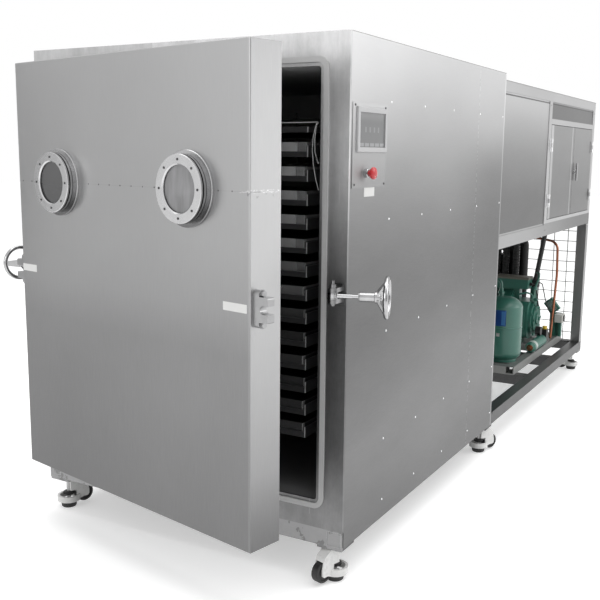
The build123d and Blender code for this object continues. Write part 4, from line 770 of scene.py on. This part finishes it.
# %% Tubes along rounded lines
def rounded_line(points, radii, step):
    """Evenly spaced points and directions along a line whose corners are arcs."""
    points = [Vector(p) for p in points]
    fine = [points[0]]
    for i, r in zip(range(1, len(points) - 1), radii):
        here = points[i]
        a, b = (points[i - 1] - here).normalized(), (points[i + 1] - here).normalized()
        half = a.angle(b) / 2
        reach = r / tan(half)
        centre = here + (a + b).normalized() * (r / sin(half))
        first, last = here + a * reach - centre, here + b * reach - centre
        sweep = first.angle(last)
        for k in range(13):
            t = k / 12 * sweep
            fine.append(centre + (first * sin(sweep - t) + last * sin(t)) / sin(sweep))
    fine.append(points[-1])
    out, carry = [], 0.0
    for a, b in zip(fine, fine[1:]):
        length = (b - a).length
        while carry < length:
            out.append((a.lerp(b, carry / length), (b - a).normalized()))
            carry += step
        carry -= length
    out.append((fine[-1], (fine[-1] - fine[-2]).normalized()))
    return out


def tube(bm, points, radii, radius, sides=12, step=0.008):
    """A round tube swept along a line whose corners are arcs, closed at both ends."""
    line = rounded_line(points, radii, step)
    side = line[0][1].orthogonal().normalized()
    rings = []
    for point, ahead in line:
        side = (side - ahead * side.dot(ahead)).normalized()
        other = ahead.cross(side)
        rings.append(ring_at(bm, sides, lambda a: point + (side * cos(a) + other * sin(a)) * radius))
    skin(bm, rings)


print("tubes ready")

# %% Places and directions
def facing(place, ahead, up=(0, 0, 1)):
    """A matrix whose Z axis points ahead at a place, with Y as near to up as it can be."""
    z = Vector(ahead).normalized()
    x = Vector(up).cross(z)
    x = x.normalized() if x.length > 1e-4 else z.orthogonal().normalized()
    m = Matrix((x, z.cross(x), z)).transposed().to_4x4()
    m.translation = place
    return m


def ring_of(count, radius, centre, right, up, first=0.0):
    """Evenly spaced places round a centre, each with its way out."""
    places = []
    for k in range(count):
        a = radians(first + 360 * k / count)
        out = Vector(right) * cos(a) + Vector(up) * sin(a)
        places.append((Vector(centre) + out * radius, out))
    return places


def cabinet_piece(draw, finish, smooth=35):
    """A piece of the fixed cabinet, named after the function that draws it."""
    return hand_over(draw.__name__, plain_mesh(draw.__name__, draw, smooth), finish, "cabinet")


print("places ready")

# %% [markdown]
# ## Repeats with Geometry Nodes
# Screws, rivets, weld beads and hose ribs are the same small mesh many times over. A node group puts an
# item on every point of a mesh, turned by an attribute and slightly varied in size. Its inputs are
# named, so the same group serves every row, and each result is kept as a plain mesh.

# %% The repeating node group
def make_repeater():
    group = bpy.data.node_groups.new("repeat_on_points", "GeometryNodeTree")
    for name, kind in (("Points", "Geometry"), ("Item", "Object"), ("Finish", "Material"), ("Size", "Float"),
                       ("Variation", "Float"), ("Seed", "Int")):
        group.interface.new_socket(name, in_out="INPUT", socket_type="NodeSocket" + kind)
    group.interface.new_socket("Mesh", in_out="OUTPUT", socket_type="NodeSocketGeometry")
    new = group.nodes.new
    given, result = new("NodeGroupInput"), new("NodeGroupOutput")
    item, turn = new("GeometryNodeObjectInfo"), new("GeometryNodeInputNamedAttribute")
    euler, dice = new("FunctionNodeEulerToRotation"), new("FunctionNodeRandomValue")
    turn.data_type = "FLOAT_VECTOR"
    turn.inputs["Name"].default_value = "turn"
    low, high, scale = (new("ShaderNodeMath") for _ in range(3))
    for m, op in ((low, "SUBTRACT"), (high, "ADD")):
        m.operation = op
        m.inputs[0].default_value = 1.0
        link_all(group, (given, "Variation", m, 1))
    scale.operation = "MULTIPLY"
    place, solid = new("GeometryNodeInstanceOnPoints"), new("GeometryNodeRealizeInstances")
    coat = new("GeometryNodeSetMaterial")
    link_all(group, (low, 0, dice, 2), (high, 0, dice, 3), (given, "Seed", dice, "Seed"), (dice, 1, scale, 0),
             (given, "Size", scale, 1), (given, "Item", item, "Object"), (turn, 0, euler, 0),
             (given, "Points", place, "Points"), (item, "Geometry", place, "Instance"),
             (euler, 0, place, "Rotation"), (scale, 0, place, "Scale"), (place, 0, solid, 0),
             (solid, 0, coat, "Geometry"), (given, "Finish", coat, "Material"), (coat, 0, result, 0))
    return group


REPEATER = make_repeater()
print(len(REPEATER.nodes), "nodes repeat an item")

# %% Rows of items
ITEMS = {}


def item(name, draw, smooth=40):
    ITEMS[name] = bpy.data.objects.new(name, plain_mesh(name, draw, smooth))


def repeat(name, kind, spots, finish, body="cabinet", turn=Matrix(), size=1.0, variation=0.0, seed=1):
    """An item on each spot, a matrix whose Z axis is the item's own."""
    spots = [TO_MODEL @ turn @ s for s in spots]
    mesh = bpy.data.meshes.new(name)
    mesh.from_pydata([s.translation for s in spots], [], [])
    turns = mesh.attributes.new("turn", "FLOAT_VECTOR", "POINT")
    for k, s in enumerate(spots):
        turns.data[k].vector = s.to_euler()
    seat = into_scene(name + "_points", mesh)
    bpy.context.scene.collection.objects.link(ITEMS[kind])
    modifier = seat.modifiers.new("repeat", "NODES")
    modifier.node_group = REPEATER
    values = {"Item": ITEMS[kind], "Finish": finish.data, "Size": size, "Variation": variation, "Seed": seed}
    for socket in REPEATER.interface.items_tree:
        if socket.in_out == "INPUT" and socket.name in values:
            modifier[socket.identifier] = values[socket.name]
    seat.update_tag()
    bpy.context.view_layer.update()
    done = bpy.data.meshes.new_from_object(seat.evaluated_get(bpy.context.evaluated_depsgraph_get()))
    bpy.context.scene.collection.objects.unlink(ITEMS[kind])
    bpy.data.objects.remove(seat)
    return hand_over(name, done, None, body, Matrix())


print("rows ready")

# %% The small items
def turned(*parts, matrix=Matrix()):
    """A drawing of (sides, profile in millimetres) pairs turned about Z."""
    def draw(bm):
        for sides, profile in parts:
            turn_profile(bm, [(r / 1000, z / 1000) for r, z in profile], sides, matrix)
    return draw


def hose_rib(bm, sides=20, tube_sides=5, big=29.6e-3, small=2.2e-3):
    rings = []
    for k in range(sides):
        turn = Matrix.Rotation(2 * pi * k / sides, 3, "Z")
        rings.append(ring_at(bm, tube_sides,
                             lambda b: turn @ Vector((big + small * cos(b), 0, small * sin(b)))))
    for a, b in zip(rings, rings[1:] + rings[:1]):
        for k in range(tube_sides):
            j = (k + 1) % tube_sides
            bm.faces.new((a[k], b[k], b[j], a[j]))


def grip_rib(bm):
    rounded_plate(bm, 2.4e-3, 9.0e-3, 1.4e-3, 0.7e-3, Matrix(), 2)


FLAT_DROP = Matrix.Diagonal((1.0, 0.6, 1.0, 1.0))
item("socket_head", turned((18, [(4.0, 0), (4.0, 0.9), (3.6, 1.3), (2.4, 1.3)]),
                           (6, [(2.4, 1.3), (2.2, 0.3), (0, 0.2)])))
item("button_head", turned((16, [(4.0, 0), (3.9, 0.5), (3.3, 1.2), (1.9, 1.8), (0, 2.0)])))
item("pan_screw", turned((14, [(3.2, 0), (3.2, 0.7), (2.7, 1.5), (1.3, 1.7), (0.6, 0.8), (0, 0.8)])))
item("hex_bolt", turned((24, [(11, 0), (11, 1.4), (8.6, 1.5)]),
                        (6, [(8.6, 1.4), (8.6, 6.4), (7.2, 7.2), (0, 7.2)])))
item("weld_drop", turned((10, [(2.9, -0.6), (2.7, 0.3), (1.7, 1.0), (0, 1.2)]), matrix=FLAT_DROP))
item("spot_weld", turned((10, [(1.7, 0), (1.2, 0.25), (0, 0.3)])))
item("hose_rib", hose_rib)
item("grip_rib", grip_rib)
print(len(ITEMS), "items to repeat")

# %% [markdown]
# ## The door
# Each window's ring is held by eight socket screws. A line of spot welds runs across the door at the
# height of the windows' middles, and two blank labels sit at its edges. All of it is placed on the
# closed door and swung with it.

# %% Screws, welds and labels of the door
dark_screw = polished("blackened_screw", 0.10, 0.34)
weld_steel = polished("weld_steel", 0.36, 0.34, 0.2)
zinc = polished("zinc_screw", 0.42, 0.26)
rivet_steel = polished("rivet_steel", 0.80, 0.25)
WINDOW_X, WINDOW_Z, SCREW_CIRCLE = 0.342, 1.350, 0.0885
RING_FRONT, DOOR_FRONT, SEAM_Z = -0.173, -0.133, 1.349
TO_FRONT, TO_RIGHT = (0, -1, 0), (1, 0, 0)

spots = []
for sx in (-1, 1):
    centre = (sx * WINDOW_X, RING_FRONT - 0.0002, WINDOW_Z)
    spots += [facing(place, TO_FRONT) for place, _ in ring_of(8, SCREW_CIRCLE, centre, (1, 0, 0), (0, 0, 1))]
repeat("window_screws", "socket_head", spots, dark_screw, "door", DOOR_TURN)


def clear_of_windows(x):
    return min(abs(x - WINDOW_X), abs(x + WINDOW_X)) > 0.125


xs = filter(clear_of_windows, (-0.585 + 0.059 * k for k in range(20)))
spots = [facing((x, DOOR_FRONT - 0.0001, SEAM_Z), TO_FRONT) for x in xs]
repeat("door_spot_welds", "spot_weld", spots, dark_screw, "door", DOOR_TURN, 1.5, 0.25, 5)
spots = [facing((0.6102, -0.127 + 0.0042 * k, SEAM_Z), TO_RIGHT) for k in range(9)]
repeat("edge_welds", "weld_drop", spots, weld_steel, "door", DOOR_TURN, 1.0, 0.3, 3)


def label(name, width, height, spot, finish, body, turn=Matrix()):
    mesh = plain_mesh(name, lambda bm: rounded_plate(bm, width, height, 0.0006, 0.0015, spot), None)
    return hand_over(name, mesh, finish, body, TO_MODEL @ turn)


for side, width, x, z in (("left", 0.092, -0.563, 1.025), ("right", 0.101, 0.5455, 1.010)):
    spot = facing((x, DOOR_FRONT, z), TO_FRONT)
    label(f"door_label_{side}", width, 0.026, spot, label_film, "door", DOOR_TURN)
print("door detailed")

# %% [markdown]
# ## Side sheets and controls
# Button heads in a wide grid hold the side sheets. The control plate has a screw in each corner, and a
# blank label sits under it.

# %% Rivets, control screws and the side label
RIVET_Y, RIVET_Z = (0.320, 0.625, 0.935, 1.265, 1.595), (1.634, 1.236, 0.838, 0.439, 0.206)
spots = [facing((s * (SIDE + 0.0001), y, z), (s, 0, 0)) for s in (1, -1) for y in RIVET_Y for z in RIVET_Z]
repeat("side_sheet_rivets", "button_head", spots, rivet_steel)
corners = ((0.036, 1.612), (0.266, 1.611), (0.036, 1.361), (0.264, 1.360))
spots = [facing((SIDE + 0.0021, y, z), TO_RIGHT) for y, z in corners]
repeat("control_plate_screws", "pan_screw", spots, dark_screw, size=1.25)
label("side_label", 0.079, 0.030, facing((SIDE, 0.1535, 1.335), TO_RIGHT), label_film, "cabinet")
print("controls detailed")

# %% [markdown]
# ## Base, welds and feet
# The long tubes of the base are closed by welded caps, and so are the tubes at the rear. Beads of weld
# run round each front cap and along the edges of the caster plates, and the adjusting nut of each foot
# is ribbed for fingers.

# %% Caps, weld beads and ribbed nuts
TUBE_X, TUBE_Z, BEAM_Z, RAIL_Z, CAP, CAP_HALF = 0.643, 0.165, 1.0415, 1.775, 0.0512, 0.026
CASTER_ROWS, PLATE_EDGE, PLATE_HALF, NUT_X, NUT_Z = (0.05, 1.6, 3.6), 0.6732, 0.045, 0.625, 0.058


def tube_caps(bm):
    for sx in (-1, 1):
        rounded_plate(bm, CAP, CAP, 0.003, 0.006, facing((sx * TUBE_X, 0.0035, TUBE_Z), TO_FRONT))


def rear_caps(bm):
    for sx in (-1, 1):
        for z in (TUBE_Z, BEAM_Z, RAIL_Z):
            rounded_plate(bm, CAP, CAP, 0.003, 0.006, facing((sx * TUBE_X, 3.6462, z), (0, 1, 0)))


def bead_line(start, end, normal, pitch=0.0042):
    start, end = Vector(start), Vector(end)
    count = int((end - start).length / pitch)
    up = (end - start).cross(Vector(normal))
    return [facing(start.lerp(end, (k + 0.5) / count), normal, up) for k in range(count)]


cabinet_piece(tube_caps, base_skin)
cabinet_piece(rear_caps, frame_skin)

spots = []
for sx in (-1, 1):
    x0, x1, z0, z1 = sx * TUBE_X - CAP_HALF, sx * TUBE_X + CAP_HALF, TUBE_Z - CAP_HALF, TUBE_Z + CAP_HALF
    for a, b in (((x0, z0), (x1, z0)), ((x0, z1), (x1, z1)), ((x0, z0), (x0, z1)), ((x1, z0), (x1, z1))):
        spots += bead_line((a[0], 0.0006, a[1]), (b[0], 0.0006, b[1]), TO_FRONT)
for y in CASTER_ROWS:
    first, last = max(y - PLATE_HALF, 0.006), min(y + PLATE_HALF, 3.644)
    for sx in (-1, 1):
        spots += bead_line((sx * PLATE_EDGE, first, 0.1362), (sx * PLATE_EDGE, last, 0.1362), (sx, 0, -0.6))
repeat("weld_beads", "weld_drop", spots, weld_steel, variation=0.3, seed=11)

spots = []
for y in CASTER_ROWS:
    for sx in (-1, 1):
        round_nut = ring_of(20, 0.0215, (sx * NUT_X, y, NUT_Z), (1, 0, 0), (0, 1, 0))
        spots += [facing(place, out) for place, out in round_nut]
repeat("nut_ribs", "grip_rib", spots, black_rubber)
print("base detailed")

# %% Probe leads and the rod over the top shelf
PROBE_Y = 0.062
LEADS = (((-0.50, 1.556), (0.0, 1.555), (0.39, 1.5585), (0.53, 1.5595)),
         ((0.531, 1.560), (0.520, 1.544), (0.511, 1.508), (0.509, 1.469), (0.514, 1.421), (0.524, 1.372),
          (0.534, 1.340)),
         ((0.524, 1.556), (0.518, 1.502), (0.5195, 1.463), (0.527, 1.437), (0.534, 1.425)))


def probe_leads(bm):
    for lead in LEADS:
        points = [(x, PROBE_Y, z) for x, z in lead]
        tube(bm, points, [0.008] * (len(points) - 2), 0.0011, 6, 0.006)


lead_coat = Coat("pale_lead", (0.80, 0.80, 0.80), 0.30, 0.3).done()
cabinet_piece(probe_leads, lead_coat, 40)
print(len(LEADS), "leads")

# %% [markdown]
# ## The machine bay
# The vacuum hoses are corrugated, and ribbed drain ducts stand in front of them. A rib is a small ring
# repeated along the hose's line; a duct is straight, so its ribs are drawn in one turned profile. The
# compressor's covers are bolted down, the receiver carries plain labels, and a dial with bare ticks
# faces the side.

# %% Hose ribs
HOSE_X, HOSE_PITCH, HOSE_Y, HOSE_LOW, HOSE_HIGH = 0.270, 0.072, 3.563, 0.247, 0.895
FLOOR_UNDER, PUMP_HOSE_Z, RIB_PITCH = 1.0047, 0.905, 0.0095


def ribs_along(points, radii):
    line = rounded_line(points, radii, RIB_PITCH)
    return [facing(place, ahead, (0, 1, 0.01)) for place, ahead in line[:-1]]


spots = []
for i in range(3):
    x, y, z = HOSE_X - HOSE_PITCH * i, HOSE_Y - 0.004 * i, HOSE_HIGH - 0.066 * i
    end = x - 0.250 - 0.024 * i
    spots += ribs_along([(x, y, HOSE_LOW), (x, y, z), (end, y, z + 0.008), (end - 0.016, y, FLOOR_UNDER)],
                        (0.062, 0.062))
spots += ribs_along([(-0.24, 3.02, 0.577), (-0.24, 3.02, PUMP_HOSE_Z - 0.025), (-0.21, 2.84, PUMP_HOSE_Z),
                     (-0.20, 1.628, PUMP_HOSE_Z)], (0.09, 0.20))
repeat("hose_ribs", "hose_rib", spots, black_rubber)
print(len(spots), "hose ribs")

# %% Ribbed ducts in front of the hoses
DUCT_STEP, DUCT_STEPS = 0.0045, 168


def drain_ducts(bm):
    turns = [(0.0245 if k % 4 < 2 else 0.0212, DUCT_STEP * k) for k in range(DUCT_STEPS + 1)]
    profile = [(0, 0), *turns, (0, DUCT_STEP * DUCT_STEPS)]
    for x in (0.234, 0.162, 0.106):
        turn_profile(bm, profile, 14, Matrix.Translation((x, 3.498, HOSE_LOW)))


cabinet_piece(drain_ducts, black_rubber, None)
print("ducts stand", round(DUCT_STEP * DUCT_STEPS, 3), "high")

# %% Compressor bolts
COMPRESSOR_Y, COMPRESSOR_Z, HEAD_TILT = 3.250, 0.392, 28
ACROSS, UP = (0, 1, 0), (0, 0, 1)
spots = []
for radius, x, count, first in ((0.106, 0.4502, 8, 22.5), (0.078, 0.4622, 6, 0)):
    places = ring_of(count, radius, (x, COMPRESSOR_Y, COMPRESSOR_Z), ACROSS, UP, first)
    spots += [facing(place, TO_RIGHT) for place, _ in places]
for x in (0.160, 0.270):
    for side in (-1, 1):
        head = Matrix.Translation((x, COMPRESSOR_Y + side * 0.066, 0.515))
        head = head @ Matrix.Rotation(radians(-side * HEAD_TILT), 4, "X")
        corners = ((dx, dy, 0.0488) for dx in (-0.033, 0.033) for dy in (-0.040, 0.040))
        spots += [head @ Matrix.Translation(corner) for corner in corners]
repeat("compressor_bolts", "hex_bolt", spots, green_paint, size=0.9)
spots = [facing((x, y, 0.6708), UP, ACROSS) for x in (0.203, 0.401) for y in (3.181, 3.259)]
repeat("terminal_lid_screws", "pan_screw", spots, zinc, size=1.2)
print("compressor bolted")

# %% Compressor cover, fittings and cable gland
def compressor_boss(bm):
    """The round cover in the middle of the end, and the oil sight glass beside it."""
    cover = [(0.040, 0), (0.040, 0.008), (0.034, 0.012), (0.012, 0.013), (0.012, 0.019), (0, 0.019)]
    turn_profile(bm, cover, 28, facing((0.4618, COMPRESSOR_Y, COMPRESSOR_Z), TO_RIGHT))
    turn_profile(bm, [(0.017, 0), (0.017, 0.007), (0.013, 0.009), (0.011, 0.006), (0, 0.006)], 20,
                 facing((0.4498, 3.338, 0.330), TO_RIGHT))


def green_fittings(bm):
    """Service valve, elbow and balance line in front of the terminal box."""
    tee = (0.4395, 3.205, 0.520)
    tube(bm, [tee, (0.452, 3.200, 0.600), (0.470, 3.215, 0.668), (0.452, 3.290, 0.690),
              (0.430, 3.306, 0.690)], (0.04, 0.03, 0.03), 0.0075, 14)
    tube(bm, [(0.360, 3.155, 0.560), (0.410, 3.160, 0.575), (0.4395, 3.190, 0.560), tee], (0.03, 0.03), 0.006)
    for place, ahead, r, h in (((0.4395, 3.205, 0.512), UP, 0.016, 0.030),
                               ((0.452, 3.200, 0.592), (0.1, 0, 1), 0.013, 0.020),
                               ((0.4395, 3.205, 0.527), (1, -0.3, 0), 0.010, 0.036)):
        turn_profile(bm, [(0, 0), (r, 0), (r, h * 0.8), (r * 0.8, h), (0, h)], 6, facing(place, ahead))


def terminal_gland(bm):
    spot = facing((0.4118, 3.222, 0.622), TO_RIGHT)
    turn_profile(bm, [(0.013, 0), (0.013, 0.008), (0.010, 0.009)], 6, spot)
    turn_profile(bm, [(0.0095, 0.008), (0.0095, 0.018), (0.006, 0.021)], 16, spot)
    tube(bm, [(0.425, 3.222, 0.622), (0.446, 3.222, 0.620), (0.460, 3.228, 0.560), (0.470, 3.236, 0.480)],
         (0.016, 0.05), 0.0048, step=0.006)


cabinet_piece(compressor_boss, green_paint)
cabinet_piece(green_fittings, green_paint)
cabinet_piece(terminal_gland, black_metal)
print("compressor detailed")

# %% Receiver labels, its valve and the bay's small lines
TANK = Vector((0.432, 2.590, 0.0))


def curved_label(name, angle, spread, low, high, finish, radius, steps=14):
    """A film bent round the receiver: middle angle and spread in degrees, lower and upper edge."""
    def draw(bm):
        rows = []
        for z in (low, high):
            angles = (radians(angle - spread / 2 + spread * k / steps) for k in range(steps + 1))
            edge = (TANK + Vector((radius * cos(a), radius * sin(a), z)) for a in angles)
            rows.append([bm.verts.new(place) for place in edge])
        for k in range(steps):
            bm.faces.new((rows[0][k], rows[0][k + 1], rows[1][k + 1], rows[1][k]))
        bmesh.ops.solidify(bm, geom=bm.faces[:], thickness=-0.0004)
    return hand_over(name, plain_mesh(name, draw, 30), finish, "cabinet")


for entry in (("receiver_blue_label", -93, 54, 0.468, 0.562, blue_film, 0.1098),
              ("receiver_blue_strip", -74, 12, 0.474, 0.556, pale_blue, 0.1101),
              ("receiver_white_label", -89, 11, 0.405, 0.425, label_film, 0.1098)):
    curved_label(*entry)


def receiver_valve(bm):
    top = Vector((0.402, 2.620, 0.646))
    turn_profile(bm, [(0.020, 0), (0.020, 0.014), (0.014, 0.018), (0.014, 0.034), (0, 0.034)], 6,
                 Matrix.Translation(top - Vector((0, 0, 0.006))))
    turns = ((0, 0, 0.02), (0, 0, 0.075), (-0.10, 0.03, 0.075), (-0.30, 0.12, 0.06))
    tube(bm, [top + Vector(t) for t in turns], (0.03, 0.06), 0.0085, 14, 0.01)


def thin_cable(bm):
    tube(bm, [(0.448, 3.300, 0.628), (0.472, 3.305, 0.620), (0.492, 3.320, 0.520), (0.500, 3.380, 0.440),
              (0.508, 3.436, 0.400), (0.545, 3.440, 0.394)], (0.012, 0.06, 0.05, 0.03), 0.0034, 10)


cabinet_piece(receiver_valve, green_paint)
cabinet_piece(thin_cable, black_metal, 40)
print("receiver detailed")

# %% Dial and screws of the switch box
DIAL = facing((0.6019, 3.420, 0.381), TO_RIGHT)


def dial_case(bm):
    rim = [(0.0200, -0.004), (0.0205, 0.0015), (0.0195, 0.0030), (0.0178, 0.0030), (0.0174, 0.0010)]
    turn_profile(bm, rim, 32, DIAL)


def dial_face(bm):
    turn_profile(bm, [(0.0174, 0.0004), (0, 0.0006)], 32, DIAL)


def dial_marks(bm, ticks=11, first=225, step=27, circle=0.0145):
    for k in range(ticks):
        a = radians(first - step * k)
        tick = Matrix.Rotation(a, 4, "Z") @ Matrix.Translation((circle, 0, 0.0006))
        rounded_plate(bm, 0.0030, 0.0007, 0.0003, 0.0002, DIAL @ tick, 1)
    needle = Matrix.Rotation(radians(140), 4, "Z") @ Matrix.Translation((0.005, 0, 0.0011))
    rounded_plate(bm, 0.0145, 0.0011, 0.0004, 0.0004, DIAL @ needle, 1)
    turn_profile(bm, [(0.0022, 0.0006), (0.0020, 0.0020), (0, 0.0022)], 12, DIAL)


cabinet_piece(dial_case, black_metal)
cabinet_piece(dial_face, label_film)
cabinet_piece(dial_marks, black_metal)
spots = [facing((0.5040 + dx, 3.4548, 0.450 + dz), TO_FRONT) for dx, dz in ((-0.020, 0.030), (0.026, -0.024))]
repeat("stand_screws", "pan_screw", spots, zinc, size=0.9)
print("machine bay detailed")

# %% Screws of the bay's beams
spots = [facing((0.6741, y, z), TO_RIGHT) for z in (BEAM_Z, 1.7325) for y in (2.489, 3.620)]
repeat("beam_screws", "pan_screw", spots, zinc, size=1.2)
print(len(spots), "beam screws")
